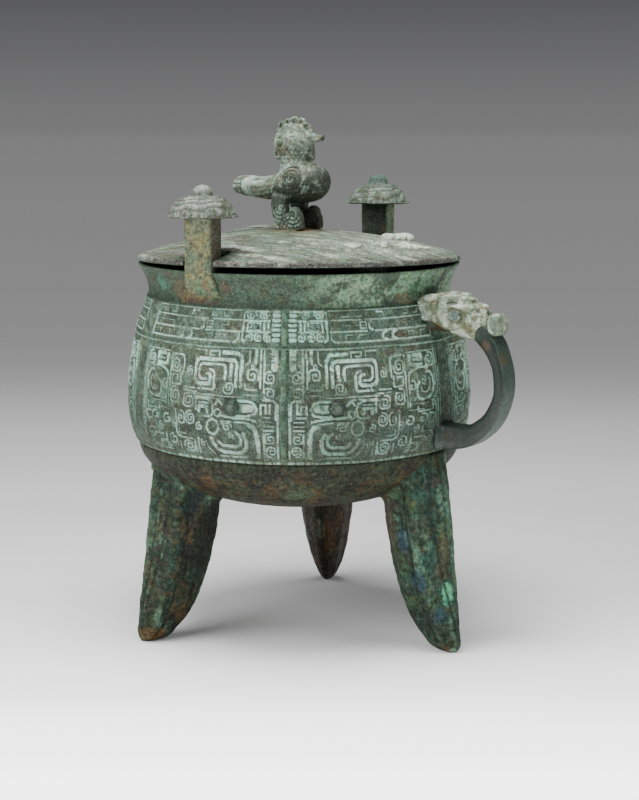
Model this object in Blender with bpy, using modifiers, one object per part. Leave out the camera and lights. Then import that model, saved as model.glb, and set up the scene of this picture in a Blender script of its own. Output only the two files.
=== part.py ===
"""A cast bronze wine vessel on three legs, with a loop handle, two capped posts and a bird-topped lid.

Run with: blender --background --python part.py
Everything is in metres, +Z up, standing on the three feet at z = 0, with the handle towards +X.
"""

import math

import bmesh
import bpy
from mathutils import Vector

# Bowl
BASE_CLEARANCE = 0.0845      # lowest point of the bowl above the floor
BASE_DEPTH = 0.0505          # plain round base, up to the lower edge of the belly band
BELLY_BAND_HEIGHT = 0.0755
UPPER_BAND_HEIGHT = 0.0235
NECK_HEIGHT = 0.0216
BASE_RADIUS = 0.1125         # at the lower edge of the belly band
BELLY_RADIUS = 0.1180        # the widest place
SHOULDER_RADIUS = 0.1118     # between the two bands
NECK_RADIUS = 0.1039
RIM_RADIUS = 0.1098
WALL = 0.0030
BAND_STEP = 0.0010           # how far the bands stand proud of the plain metal
WIDEST_SHARE = 0.40          # height of the widest place, as a share of the belly band

# Legs
LEG_WIDTH = 0.0445           # across the two side corners
LEG_DEPTH = 0.0495           # outer ridge to inner face
LEG_LEAN = 0.12              # outward run of the outer ridge for each metre down
FOOT_REACH = 0.1277          # outer ridge from the centre of the feet, at the floor before rounding
FOOT_ROUNDING = 0.0045
LEG_RING_X = 0.0054          # the feet stand a little off the bowl's axis
LEG_RING_Y = 0.0037
LEG_RING_TURN = math.radians(-2.7)
LEG_TAPER_HEIGHT = 0.100     # above this height a leg keeps its full section

# Handle: a strap in the plane y = 0
HANDLE_REACH = 0.1640        # outer face from the bowl's axis
HANDLE_LOW = 0.1465          # height of the strap's middle where it leaves the belly
HANDLE_HIGH = 0.2220         # the same at the top, under the animal head
HANDLE_WIDTH = 0.0190
HANDLE_THICKNESS = 0.0080
HANDLE_ROOT_THICKNESS = 0.0150

# Animal head on the handle
HEAD_LENGTH = 0.0600
HEAD_RISE = 0.0070           # head's middle line above the strap's upper end
HEAD_OVERHANG = 0.0045       # snout's end behind the handle's outer face

# Posts on the rim, with caps
POST_WIDTH = 0.0225          # along the rim
POST_DEPTH = 0.0115          # across the rim
POST_SET_BACK = 0.0020       # posts stand a little behind the bowl's axis
POST_RISE = 0.0345           # rim to the cap's lower edge
POST_ROOT = 0.0200           # how far the post runs down the neck
CAP_RADIUS = 0.0231
CAP_HEIGHT = 0.0140
KNOB_RADIUS = 0.0066
KNOB_HEIGHT = 0.0065

# Lid
LID_GAP = 0.0003             # left between the resting lid and the rim
LID_OVERHANG = 0.0004
LID_THICKNESS = 0.0032
LID_RISE = 0.0178            # edge to centre, on the upper face
LID_FRONT_LIFT = 0.0040      # the lid is bent up along its front
LID_FRONT_ANGLE = math.radians(-56)
NOTCH_CLEARANCE = 0.0010     # beside each post
NOTCH_END_CLEARANCE = 0.0100  # between the post's inner face and the notch's end

# Bird on the lid
BIRD_HEIGHT = 0.0785
BIRD_SINK = 0.0020           # how far its feet run into the lid

# Relief
RELIEF = 0.0011              # height of the raised lines
RELIEF_ROOT = 0.0012         # how deep they start inside the wall
LINE_WIDTH = 0.0026
FLANGE_RISE = 0.0030
FLANGE_WIDTH = 0.0032
EYE_RADIUS = 0.0055
MASKS = 3
MASK_CENTRE = math.radians(-60)     # the first mask's flange, between two legs

# Smoothness
BOWL_STEPS = 40
CAVITY_STEPS = 32
CAP_STEPS = 14
RELIEF_STEP = 0.021          # longest straight run of a raised line, so that it follows the bowl
MERGE_DISTANCE = 0.00001     # closes the turned profiles on their axis
WELD_DISTANCE = 0.00003      # closes the hair-thin slivers that the joins leave
SHARP_ANGLE = math.radians(35)

# Heights and places that follow
BASE_TOP = BASE_CLEARANCE + BASE_DEPTH
SHOULDER = BASE_TOP + BELLY_BAND_HEIGHT
COLLAR = SHOULDER + UPPER_BAND_HEIGHT
RIM = COLLAR + NECK_HEIGHT
WIDEST = BASE_TOP + WIDEST_SHARE * BELLY_BAND_HEIGHT
NECK_LOW = COLLAR + 0.16 * NECK_HEIGHT
POST_RADIUS = RIM_RADIUS - POST_DEPTH / 2
LID_RADIUS = RIM_RADIUS + LID_OVERHANG
LID_SEAT = RIM + LID_GAP
LID_EDGE_TOP = LID_SEAT + LID_THICKNESS
LID_TOP = LID_EDGE_TOP + LID_RISE
# The object's box is centred on the origin: the handle reaches further than the flange opposite
AXIS_X = -(HANDLE_REACH - BELLY_RADIUS - FLANGE_RISE) / 2


# Scene and helpers

def clear_scene():
    for obj in list(bpy.data.objects):
        bpy.data.objects.remove(obj, do_unlink=True)


def new_collection(name):
    collection = bpy.data.collections.new(name)
    bpy.context.scene.collection.children.link(collection)
    return collection


def material(name, colour, roughness, metallic):
    made = bpy.data.materials.new(name)
    made.use_nodes = True
    shader = made.node_tree.nodes["Principled BSDF"]
    shader.inputs["Base Color"].default_value = (*colour, 1.0)
    shader.inputs["Roughness"].default_value = roughness
    shader.inputs["Metallic"].default_value = metallic
    return made


def add_object(name, mesh, collection):
    obj = bpy.data.objects.new(name, mesh)
    collection.objects.link(obj)
    return obj


def mesh_from(name, bm):
    bmesh.ops.recalc_face_normals(bm, faces=bm.faces)
    mesh = bpy.data.meshes.new(name)
    bm.to_mesh(mesh)
    bm.free()
    return mesh


def loft(bm, rings):
    """A closed skin through rings of equal length, with flat ends."""
    rows = [[bm.verts.new(point) for point in ring] for ring in rings]
    count = len(rows[0])
    for low, high in zip(rows, rows[1:]):
        for i in range(count):
            j = (i + 1) % count
            bm.faces.new((low[i], low[j], high[j], high[i]))
    bm.faces.new(list(reversed(rows[0])))
    bm.faces.new(rows[-1])


def ball(bm, centre, radii, segments=12, rings=8):
    made = bmesh.ops.create_uvsphere(bm, u_segments=segments, v_segments=rings, radius=1.0)
    bmesh.ops.scale(bm, vec=radii, verts=made["verts"])
    bmesh.ops.translate(bm, vec=centre, verts=made["verts"])


def turned(name, profile, steps, collection):
    """A profile of (radius, height), top to bottom on the outer side, turned about Z."""
    mesh = bpy.data.meshes.new(name)
    edges = [(i, i + 1) for i in range(len(profile) - 1)]
    mesh.from_pydata([(radius, 0.0, height) for radius, height in profile], edges, [])
    obj = add_object(name, mesh, collection)
    screw = obj.modifiers.new("Turn", 'SCREW')
    screw.steps = steps
    screw.render_steps = steps
    screw.use_merge_vertices = True
    screw.merge_threshold = MERGE_DISTANCE
    return obj


def boolean(obj, operation, collection):
    cut = obj.modifiers.new(operation.title(), 'BOOLEAN')
    cut.operation = operation
    cut.operand_type = 'COLLECTION'
    cut.collection = collection
    cut.solver = 'EXACT'
    cut.use_self = operation == 'UNION'


def as_cutters(collection):
    for obj in collection.objects:
        obj.hide_render = True
        obj.display_type = 'WIRE'


def between(low, high, share):
    return low + (high - low) * share


def smooth_path(points, per_span):
    """Points of every kind of size, smoothed by a curve that passes through them."""
    path = []
    last = len(points) - 1
    for i in range(last):
        before = points[max(i - 1, 0)]
        after = points[min(i + 2, last)]
        for k in range(per_span):
            t = k / per_span
            path.append(tuple(
                0.5 * (2 * b + (c - a) * t + (2 * a - 5 * b + 4 * c - d) * t ** 2
                       + (3 * b - a - 3 * c + d) * t ** 3)
                for a, b, c, d in zip(before, points[i], points[i + 1], after)))
    path.append(tuple(points[last]))
    return path


# Bowl

def hermite(low, high, z):
    """A cubic between two (height, radius, slope) knots."""
    span = high[0] - low[0]
    t = (z - low[0]) / span
    return ((2 * t ** 3 - 3 * t ** 2 + 1) * low[1] + (t ** 3 - 2 * t ** 2 + t) * span * low[2]
            + (3 * t ** 2 - 2 * t ** 3) * high[1] + (t ** 3 - t ** 2) * span * high[2])


def bowl_radius(z):
    """Outer radius at a height, from the belly band's lower edge up to the rim."""
    knots = (
        (BASE_TOP, BASE_RADIUS, 0.5),
        (WIDEST, BELLY_RADIUS, 0.0),
        (SHOULDER, SHOULDER_RADIUS, -0.20),
        (NECK_LOW, NECK_RADIUS, 0.0),
        (RIM, RIM_RADIUS, 0.25),
    )
    for low, high in zip(knots, knots[1:]):
        if z <= high[0]:
            return hermite(low, high, z)
    return RIM_RADIUS


def base_curve(radius, bottom, top, count):
    """A half oval from the axis at the bottom up to the given radius, as (radius, height)."""
    angles = [math.pi / 2 * i / count for i in range(count + 1)]
    return [(radius * math.sin(a), top - (top - bottom) * math.cos(a)) for a in angles]


def bowl_wall(heights, inset):
    return [(bowl_radius(z) - inset, z) for z in heights]


def outer_profile():
    """The bowl's outside, rim to foot, with its two bands standing proud of the plain metal."""
    neck = [between(RIM, COLLAR, i / 3) for i in range(4)]
    upper = [between(COLLAR, SHOULDER, i / 2) for i in range(3)]
    belly = [between(SHOULDER, BASE_TOP, i / 6) for i in range(7)]
    base = base_curve(BASE_RADIUS - BAND_STEP, BASE_CLEARANCE, BASE_TOP, 6)
    profile = [(0.0, RIM)]
    profile += bowl_wall(neck, BAND_STEP)[:-1]
    profile[1] = (RIM_RADIUS, RIM)
    profile += [(bowl_radius(COLLAR) - BAND_STEP, COLLAR + BAND_STEP)]
    profile += bowl_wall(upper, 0.0)
    profile += bowl_wall(belly, 0.0)[1:]
    profile += list(reversed(base))
    return profile


def cavity_profile():
    inset = WALL + BAND_STEP
    above = RIM + WALL
    heights = [between(RIM, BASE_TOP, i / 6) for i in range(7)]
    profile = [(0.0, above), (RIM_RADIUS - inset, above)]
    profile += bowl_wall(heights, inset)
    base = base_curve(bowl_radius(BASE_TOP) - inset, BASE_CLEARANCE + WALL, BASE_TOP, 5)
    profile += list(reversed(base))[1:]
    return profile


# Legs

def leg_taper(z, power):
    return math.sin(math.pi / 2 * min(z / LEG_TAPER_HEIGHT, 1.0) ** power)


def leg_section(z):
    """One level of a leg as (outward, sideways) places: outer ridge, side corners, inner face."""
    rounding = FOOT_ROUNDING * max(0.0, 1 - z / (2 * FOOT_ROUNDING)) ** 2
    outer = FOOT_REACH - LEG_LEAN * z - rounding
    depth = LEG_DEPTH * (0.20 + 0.80 * leg_taper(z, 0.45))
    half = LEG_WIDTH / 2 * (0.14 + 0.86 * leg_taper(z, 0.64))
    return (
        (outer, 0.0),
        (outer - 0.08 * depth, 0.34 * half),
        (outer - 0.27 * depth, half),
        (outer - 0.72 * depth, 0.72 * half),
        (outer - depth, 0.20 * half),
        (outer - depth, -0.20 * half),
        (outer - 0.72 * depth, -0.72 * half),
        (outer - 0.27 * depth, -half),
        (outer - 0.08 * depth, -0.34 * half),
    )


def leg_ring(z, angle):
    outward = Vector((math.cos(angle), math.sin(angle)))
    sideways = Vector((-outward.y, outward.x))
    centre = Vector((LEG_RING_X, LEG_RING_Y))
    ring = []
    for out, side in leg_section(z):
        place = centre + outward * out + sideways * side
        ring.append((place.x, place.y, z))
    return ring


def make_legs(collection):
    """The legs run up into the bowl's wall. The cavity is cut from them afterwards."""
    top = BASE_TOP - 0.10 * BASE_DEPTH
    shares = (0.0, 0.03, 0.08, 0.15, 0.25, 0.38, 0.55, 0.78, 1.0)
    bm = bmesh.new()
    for k in range(3):
        angle = LEG_RING_TURN + k * 2 * math.pi / 3
        loft(bm, [leg_ring(top * share, angle) for share in shares])
    add_object("legs", mesh_from("legs", bm), collection)


# Handle and its animal head

def handle_path():
    """The strap's middle line with its thickness, as (x, z, thickness), from belly to neck."""
    reach = HANDLE_REACH - HANDLE_THICKNESS / 2
    low = HANDLE_LOW
    rise = HANDLE_HIGH - HANDLE_LOW
    inner = BASE_RADIUS - WALL
    run = reach - inner
    root = HANDLE_ROOT_THICKNESS
    thin = HANDLE_THICKNESS
    return smooth_path([
        (inner, low, root),
        (inner + 0.27 * run, low - 0.004 * rise, root),
        (inner + 0.56 * run, low + 0.025 * rise, between(thin, root, 0.75)),
        (inner + 0.84 * run, low + 0.17 * rise, between(thin, root, 0.30)),
        (inner + 0.98 * run, low + 0.36 * rise, thin),
        (reach, low + 0.51 * rise, thin),
        (inner + 0.96 * run, low + 0.66 * rise, thin),
        (inner + 0.82 * run, low + 0.84 * rise, between(thin, root, 0.35)),
        (inner + 0.55 * run, low + 0.97 * rise, between(thin, root, 0.6)),
        (inner - WALL, HANDLE_HIGH, between(thin, root, 0.6)),
    ], 2)


def make_handle(collection):
    path = handle_path()
    half = HANDLE_WIDTH / 2
    rings = []
    for i, (x, z, thickness) in enumerate(path):
        ahead = path[min(i + 1, len(path) - 1)]
        behind = path[max(i - 1, 0)]
        along = Vector((ahead[0] - behind[0], ahead[1] - behind[1])).normalized()
        # The outward side lies to the right of the path as it climbs
        across = Vector((along.y, -along.x))
        ring = []
        for side, out in ((-0.82, 0.5), (0.82, 0.5), (1.0, 0.18), (1.0, -0.30),
                          (0.72, -0.5), (-0.72, -0.5), (-1.0, -0.30), (-1.0, 0.18)):
            ring.append((x + across.x * out * thickness, side * half, z + across.y * out * thickness))
        rings.append(ring)
    bm = bmesh.new()
    loft(bm, rings)
    add_object("handle", mesh_from("handle", bm), collection)


def head_section(x, middle, half_width, half_height, peak):
    """A rounded level of the animal head: flat below, ridged above."""
    shape = ((0.0, peak), (0.55, 0.95), (0.95, 0.35), (1.0, -0.30), (0.65, -1.0),
             (-0.65, -1.0), (-1.0, -0.30), (-0.95, 0.35), (-0.55, 0.95))
    return [(x, side * half_width, middle + up * half_height) for side, up in shape]


def make_head(collection):
    """Snout outwards, brow and eyes in the middle, two horns laid back on the bowl's shoulder."""
    unit = HEAD_LENGTH / 60
    tip = HANDLE_REACH - HEAD_OVERHANG
    middle = HANDLE_HIGH + HEAD_RISE
    levels = (
        # back from the tip, up from the middle line, half width, half height, peak
        (0, -5.0, 5.5, 4.5, 1.0),
        (1.6, -4.6, 7.2, 6.6, 1.0),
        (9, -4.6, 7.4, 6.9, 1.05),
        (12, -4.2, 6.6, 5.6, 1.2),
        (20, -1.5, 9.4, 7.4, 1.25),
        (28, 0.6, 11.8, 8.6, 1.15),
        (37, 1.2, 12.4, 8.8, 1.0),
        (47, 1.6, 12.0, 8.0, 1.0),
        (57, 1.2, 11.0, 7.2, 1.0),
        (64, 0.0, 9.0, 6.5, 1.0),
    )
    bm = bmesh.new()
    loft(bm, [head_section(tip - back * unit, middle + up * unit, wide * unit, high * unit, peak)
              for back, up, wide, high, peak in levels])
    add_object("animal_head", mesh_from("animal_head", bm), collection)
    for side in (-1, 1):
        bm = bmesh.new()
        horn = smooth_path([
            # back from the tip, sideways, up, radius
            (28, 6.5, 6.6, 2.2), (33, 9.4, 8.4, 3.4), (41, 11.6, 8.6, 4.0),
            (49, 12.2, 6.0, 4.0), (54, 12.6, 0.5, 3.4), (51, 13.0, -3.6, 2.2),
        ], 2)
        rings = []
        for i, (back, out, up, radius) in enumerate(horn):
            ahead = Vector(horn[min(i + 1, len(horn) - 1)][:3])
            along = (ahead - Vector(horn[max(i - 1, 0)][:3])).normalized()
            sideways = Vector((0, 1, 0)).cross(along).normalized()
            upward = along.cross(sideways)
            ring = []
            for k in range(6):
                turn = k * math.pi / 3
                place = Vector((back, out, up)) + (
                    sideways * math.cos(turn) + upward * math.sin(turn)) * radius
                ring.append((tip - place.x * unit, side * place.y * unit, middle + place.z * unit))
            rings.append(ring)
        loft(bm, rings)
        add_object("horn", mesh_from("horn", bm), collection)
        bm = bmesh.new()
        ball(bm, (tip - 31 * unit, side * 11.6 * unit, middle + 0.6 * unit), (3.0 * unit,) * 3, 6, 4)
        add_object("head_eye", mesh_from("head_eye", bm), collection)
        bm = bmesh.new()
        ball(bm, (tip - 23 * unit, side * 6.6 * unit, middle + 6.0 * unit),
             (5.0 * unit, 3.0 * unit, 2.4 * unit), 6, 4)
        add_object("head_brow", mesh_from("head_brow", bm), collection)


# Posts

def make_posts(collection):
    """A flat-sided post on each side of the rim, merging with the neck, under a turned cap."""
    half = POST_WIDTH / 2
    face_out = POST_RADIUS + POST_DEPTH / 2
    face_in = POST_RADIUS - POST_DEPTH / 2
    cap_edge = RIM + POST_RISE
    levels = [
        # height, outer face, inner face, half width
        (cap_edge + 0.25 * CAP_HEIGHT, face_out, face_in, half),
        (RIM + 0.10 * POST_ROOT, face_out, face_in, half),
        (RIM - 0.12 * POST_ROOT, face_out + 0.04 * POST_DEPTH, face_in, half * 1.06),
    ]
    for drop, proud, wide in ((0.45, 0.39, 1.18), (0.78, 0.18, 1.22), (1.0, -0.08, 1.10)):
        neck = bowl_radius(RIM - drop * POST_ROOT) - BAND_STEP
        levels.append((RIM - drop * POST_ROOT, neck + proud * POST_DEPTH, neck - 0.7 * WALL, half * wide))
    corner = 0.12 * POST_DEPTH
    for side in (-1, 1):
        bm = bmesh.new()
        rings = []
        for z, out, inner, wide in levels:
            ring = ((wide, inner), (wide, out - corner), (wide - corner, out),
                    (-wide + corner, out), (-wide, out - corner), (-wide, inner))
            rings.append([(x - POST_SET_BACK, side * y, z) for x, y in ring])
        loft(bm, rings)
        add_object("post", mesh_from("post", bm), collection)
        cap = turned("cap", cap_profile(), CAP_STEPS, collection)
        cap.location = (-POST_SET_BACK, side * POST_RADIUS, cap_edge)


def cap_profile():
    """A ridged dome with a knob, flat below, from the top down."""
    thin = 0.10 * CAP_HEIGHT
    shoulder = KNOB_RADIUS * 1.05
    profile = [
        (0.0, CAP_HEIGHT + KNOB_HEIGHT),
        (0.72 * KNOB_RADIUS, CAP_HEIGHT + 0.94 * KNOB_HEIGHT),
        (KNOB_RADIUS, CAP_HEIGHT + 0.55 * KNOB_HEIGHT),
        (shoulder, CAP_HEIGHT - thin),
    ]
    ridges = 2
    for i in range(ridges):
        for share, drop in ((0.10, 0.0), (0.85, 0.0), (1.0, 1.0)):
            t = (i + share) / ridges
            radius = between(shoulder, CAP_RADIUS, t)
            height = CAP_HEIGHT * math.cos(math.pi / 2 * t ** 1.35)
            profile.append((radius, max(height - drop * 0.35 * thin, 0.8 * thin)))
    profile += [(CAP_RADIUS, 0.0), (0.0, 0.0)]
    return profile


# Relief on the bowl

def wrap(along, z, out, centre):
    """A place on the bowl: along its girth from a mask's centre, at a height, out of the surface."""
    angle = centre + along / BELLY_RADIUS
    radius = bowl_radius(z) + out
    return (radius * math.cos(angle), radius * math.sin(angle), z)


def short_runs(path):
    """The same corners, with places added so that no run is longer than RELIEF_STEP."""
    runs = []
    for here, ahead in zip(path, path[1:]):
        pieces = max(1, math.ceil(math.dist(here, ahead) / RELIEF_STEP))
        runs += [tuple(between(a, b, k / pieces) for a, b in zip(here, ahead)) for k in range(pieces)]
    return runs + [path[-1]]


def ribbon(bm, path, width, centre, rise=RELIEF):
    """A raised line of even width along (along, height) corners, wrapped onto the bowl."""
    half = width / 2
    path = short_runs(path)
    rings = []
    last = len(path) - 1
    for i, place in enumerate(path):
        here = Vector(place)
        ahead = (Vector(path[min(i + 1, last)]) - here) if i < last else None
        behind = (here - Vector(path[i - 1])) if i > 0 else None
        first = (behind or ahead).normalized()
        second = (ahead or behind).normalized()
        normal = Vector((-first.y, first.x)) + Vector((-second.y, second.x))
        normal = normal / normal.length_squared * 2
        left = here + normal * half
        right = here - normal * half
        rings.append([wrap(left.x, left.y, -RELIEF_ROOT, centre), wrap(left.x, left.y, rise, centre),
                      wrap(right.x, right.y, rise, centre), wrap(right.x, right.y, -RELIEF_ROOT, centre)])
    loft(bm, rings)


def mask_half(side):
    """One half of a mask: its raised lines as (path, width), in shares of the panel."""
    panel = math.pi * BELLY_RADIUS / MASKS
    height = BELLY_BAND_HEIGHT

    def place(along, up):
        return (side * along * panel, BASE_TOP + up * height)

    horn = ((0.25, 0.67), (0.25, 0.875), (0.49, 0.875), (0.49, 0.67), (0.40, 0.67), (0.40, 0.77))
    jaw = ((0.38, 0.20), (0.34, 0.115), (0.235, 0.115), (0.20, 0.16), (0.20, 0.28))
    nostril = ((0.185, 0.345), (0.14, 0.31), (0.125, 0.17), (0.14, 0.08))
    column = ((0.68, 0.46), (0.68, 0.89), (0.60, 0.89), (0.60, 0.50))
    dragon = ((0.75, 0.64), (0.75, 0.53), (0.86, 0.53), (0.90, 0.64), (0.86, 0.78), (0.74, 0.78))
    drawn = ((horn, 2.0 * LINE_WIDTH), (jaw, 1.5 * LINE_WIDTH), (nostril, LINE_WIDTH),
             (column, LINE_WIDTH), (dragon, 1.5 * LINE_WIDTH))
    return [([place(*p) for p in path], width) for path, width in drawn]


def make_relief(collection):
    """Three masks on the belly, each with a flange and two eyes, and a narrow band above them."""
    panel = math.pi * BELLY_RADIUS / MASKS
    ribbons = bmesh.new()
    flanges = bmesh.new()
    eyes = bmesh.new()
    for k in range(MASKS):
        centre = MASK_CENTRE + k * 2 * math.pi / MASKS
        margin = 0.03 * BELLY_BAND_HEIGHT
        for low, high in ((BASE_TOP + margin, SHOULDER - margin), (SHOULDER + margin, COLLAR - margin)):
            ribbon(flanges, [(0.0, low), (0.0, high)], FLANGE_WIDTH, centre, FLANGE_RISE)
        for side in (-1, 1):
            for path, width in mask_half(side):
                ribbon(ribbons, path, width, centre)
            middle = between(SHOULDER, COLLAR, 0.5)
            ribbon(ribbons, [(side * share * panel, between(SHOULDER, COLLAR, up)) for share, up in (
                (0.08, 0.88), (0.235, 0.88), (0.235, 0.14), (0.08, 0.14))], LINE_WIDTH, centre)
            ribbon(ribbons, [(side * share * panel, middle) for share in (0.30, 0.92)],
                   LINE_WIDTH, centre)
            ball(eyes, wrap(side * 0.166 * panel, middle, -0.2 * EYE_RADIUS, centre),
                 (0.5 * EYE_RADIUS,) * 3, 6, 4)
            eye_height = between(BASE_TOP, SHOULDER, 0.49)
            ball(eyes, wrap(side * 0.278 * panel, eye_height, -0.25 * EYE_RADIUS, centre),
                 (EYE_RADIUS,) * 3, 8, 4)
    for name, bm in (("relief", ribbons), ("flanges", flanges), ("eyes", eyes)):
        add_object(name, mesh_from(name, bm), collection)


# Lid

def lid_height(radius):
    """Upper face: nearly flat at the centre, steeper towards the edge."""
    share = radius / LID_RADIUS
    return LID_TOP - LID_RISE * (0.55 * share ** 1.4 + 0.45 * share ** 3.2)


def lid_lift(x, y):
    """How far the lid is bent up at a place: most along the front of its edge."""
    share = math.hypot(x, y) / LID_RADIUS
    facing = max(0.0, math.cos(math.atan2(y, x) - LID_FRONT_ANGLE))
    return LID_FRONT_LIFT * facing ** 0.8 * share ** 2


def make_lid_plate(collection):
    radii = [LID_RADIUS * share for share in (0.0, 0.20, 0.45, 0.65, 0.82, 1.0)]
    profile = [(r, lid_height(r)) for r in radii]
    profile.append((LID_RADIUS, LID_SEAT))
    profile += [(r, lid_height(r) - LID_THICKNESS) for r in reversed(radii[:-1])]
    turned_lid = turned("lid_plate", profile, BOWL_STEPS, collection)
    bpy.context.view_layer.update()
    evaluated = turned_lid.evaluated_get(bpy.context.evaluated_depsgraph_get())
    mesh = bpy.data.meshes.new_from_object(evaluated)
    for vertex in mesh.vertices:
        vertex.co.z += lid_lift(vertex.co.x, vertex.co.y)
    bpy.data.objects.remove(turned_lid, do_unlink=True)
    return mesh


def make_notches(collection):
    """Two slots that let the lid down over the posts."""
    inner = POST_RADIUS - POST_DEPTH / 2 - NOTCH_END_CLEARANCE
    outer = LID_RADIUS + WALL
    wide = POST_WIDTH + 2 * NOTCH_CLEARANCE
    for side in (-1, 1):
        bm = bmesh.new()
        made = bmesh.ops.create_cube(bm, size=1.0)
        bmesh.ops.scale(bm, vec=(wide, outer - inner, 4 * LID_RISE), verts=made["verts"])
        bmesh.ops.translate(bm, vec=(-POST_SET_BACK, side * (outer + inner) / 2, LID_SEAT),
                            verts=made["verts"])
        add_object("notch", mesh_from("notch", bm), collection)


# Bird

def oval(x, low, high, half_width, count=10):
    """An upright oval level across the bird's body."""
    middle = (low + high) / 2
    half = (high - low) / 2
    turns = [2 * math.pi * k / count for k in range(count)]
    return [(x, half_width * math.cos(t), middle + half * math.sin(t)) for t in turns]


def make_bird(collection):
    """A standing bird with an openwork comb, facing the handle, its two legs flat scrolled plates."""
    # The bird is drawn in units of 1/78.5 of its height, measured from the lid's centre
    unit = BIRD_HEIGHT / 78.5
    ground = LID_TOP

    def scaled(points):
        return [(x * unit, y * unit, ground + z * unit) for x, y, z in points]

    body = (
        # along, underside, top, half width
        (-51, 25.5, 31.0, 4.5), (-48.5, 23.0, 34.0, 7.5), (-42, 21.6, 35.5, 8.6), (-31, 20.0, 34.6, 8.8),
        (-20, 18.9, 36.2, 11.0), (-9, 18.4, 41.0, 13.8), (2, 18.2, 45.0, 15.0), (12, 19.6, 44.5, 13.4),
        (18.5, 23.5, 41.0, 9.5), (21.5, 28.5, 36.5, 4.5),
    )
    bm = bmesh.new()
    loft(bm, [scaled(oval(*level)) for level in body])
    add_object("bird_body", mesh_from("bird_body", bm), collection)

    neck = ((38.0, 0.5, 14.5), (43.5, -1.5, 12.6), (49.0, -3.0, 11.4), (55.0, -3.6, 12.0))
    bm = bmesh.new()
    loft(bm, [scaled([(x + r * math.cos(k * math.pi / 5), r * math.sin(k * math.pi / 5), z)
                      for k in range(10)]) for z, x, r in neck])
    add_object("bird_neck", mesh_from("bird_neck", bm), collection)

    head = Vector((-3.5, 0.0, 58.0))
    bm = bmesh.new()
    ball(bm, scaled([head])[0], (12.8 * unit,) * 3, 12, 8)
    add_object("bird_head", mesh_from("bird_head", bm), collection)

    beak = ((7.0, 64.0, 3.6), (12.0, 63.0, 3.0), (17.0, 61.8, 2.2), (19.6, 61.2, 1.2))
    bm = bmesh.new()
    loft(bm, [scaled([(x, r * math.cos(k * math.pi / 4), z + r * math.sin(k * math.pi / 4))
                      for k in range(8)]) for x, z, r in beak])
    add_object("beak", mesh_from("beak", bm), collection)

    wattle = ((60.0, 10.0, 2.2), (54.0, 10.6, 2.0), (48.0, 10.4, 1.8))
    bm = bmesh.new()
    loft(bm, [scaled([(x + r * math.cos(k * math.pi / 3), r * math.sin(k * math.pi / 3), z)
                      for k in range(6)]) for z, x, r in wattle])
    add_object("wattle", mesh_from("wattle", bm), collection)

    ring_place = 15.4
    ring_radius = 3.3
    ring_section = 1.35
    for k in range(6):
        turn = math.radians(38 + 32 * k)
        centre = head + Vector((math.cos(turn), 0, math.sin(turn))) * ring_place
        bpy.ops.mesh.primitive_torus_add(
            major_segments=8, minor_segments=5, major_radius=ring_radius * unit,
            minor_radius=ring_section * unit, location=scaled([centre])[0], rotation=(math.pi / 2, 0, 0))
        ring = bpy.context.object
        ring.name = "comb_ring"
        for other in list(ring.users_collection):
            other.objects.unlink(ring)
        collection.objects.link(ring)

    for side in (-1, 1):
        bm = bmesh.new()
        ball(bm, scaled([(-3.0, side * 12.0, 58.5)])[0], (2.6 * unit,) * 3, 6, 4)
        ball(bm, scaled([(2.0, side * 13.2, 33.0)])[0], (6.5 * unit, 3.0 * unit, 6.5 * unit), 10, 6)
        add_object("eye_and_wing", mesh_from("eye_and_wing", bm), collection)
        make_bird_leg(collection, side, scaled, -BIRD_SINK / unit)


def make_bird_leg(collection, side, scaled, floor):
    """A plate that bows backwards from the belly to the lid, with a knee in front."""
    line = smooth_path([
        # along, up, half width of the band
        (-3.0, 22.0, 7.0), (-6.5, 15.0, 6.4), (-6.0, 9.0, 6.0), (-1.0, 4.0, 6.0),
        (5.0, 1.0, 6.2), (7.0, floor, 6.2),
    ], 2)
    near = 8.5
    far = 15.0
    rings = []
    for i, (x, z, half) in enumerate(line):
        ahead = Vector(line[min(i + 1, len(line) - 1)][:2])
        along = (ahead - Vector(line[max(i - 1, 0)][:2])).normalized()
        across = Vector((-along.y, along.x)) * half
        if i == len(line) - 1:
            across = Vector((half, 0))
        front = (x + across.x, z + across.y)
        back = (x - across.x, max(z - across.y, floor))
        rings.append(scaled([(front[0], side * near, front[1]), (back[0], side * near, back[1]),
                             (back[0], side * far, back[1]), (front[0], side * far, front[1])]))
    bm = bmesh.new()
    loft(bm, rings)
    add_object("bird_leg", mesh_from("bird_leg", bm), collection)
    bm = bmesh.new()
    knee = ((1.5, 11.0), (2.2, 14.6), (5.0, 15.8), (8.0, 13.4), (10.5, 7.5), (9.5, 1.0), (3.0, 1.0))
    loft(bm, [scaled([(x, side * y, z) for x, z in knee]) for y in (near + 0.6, far - 0.6)])
    add_object("knee", mesh_from("knee", bm), collection)


# Assembly

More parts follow.
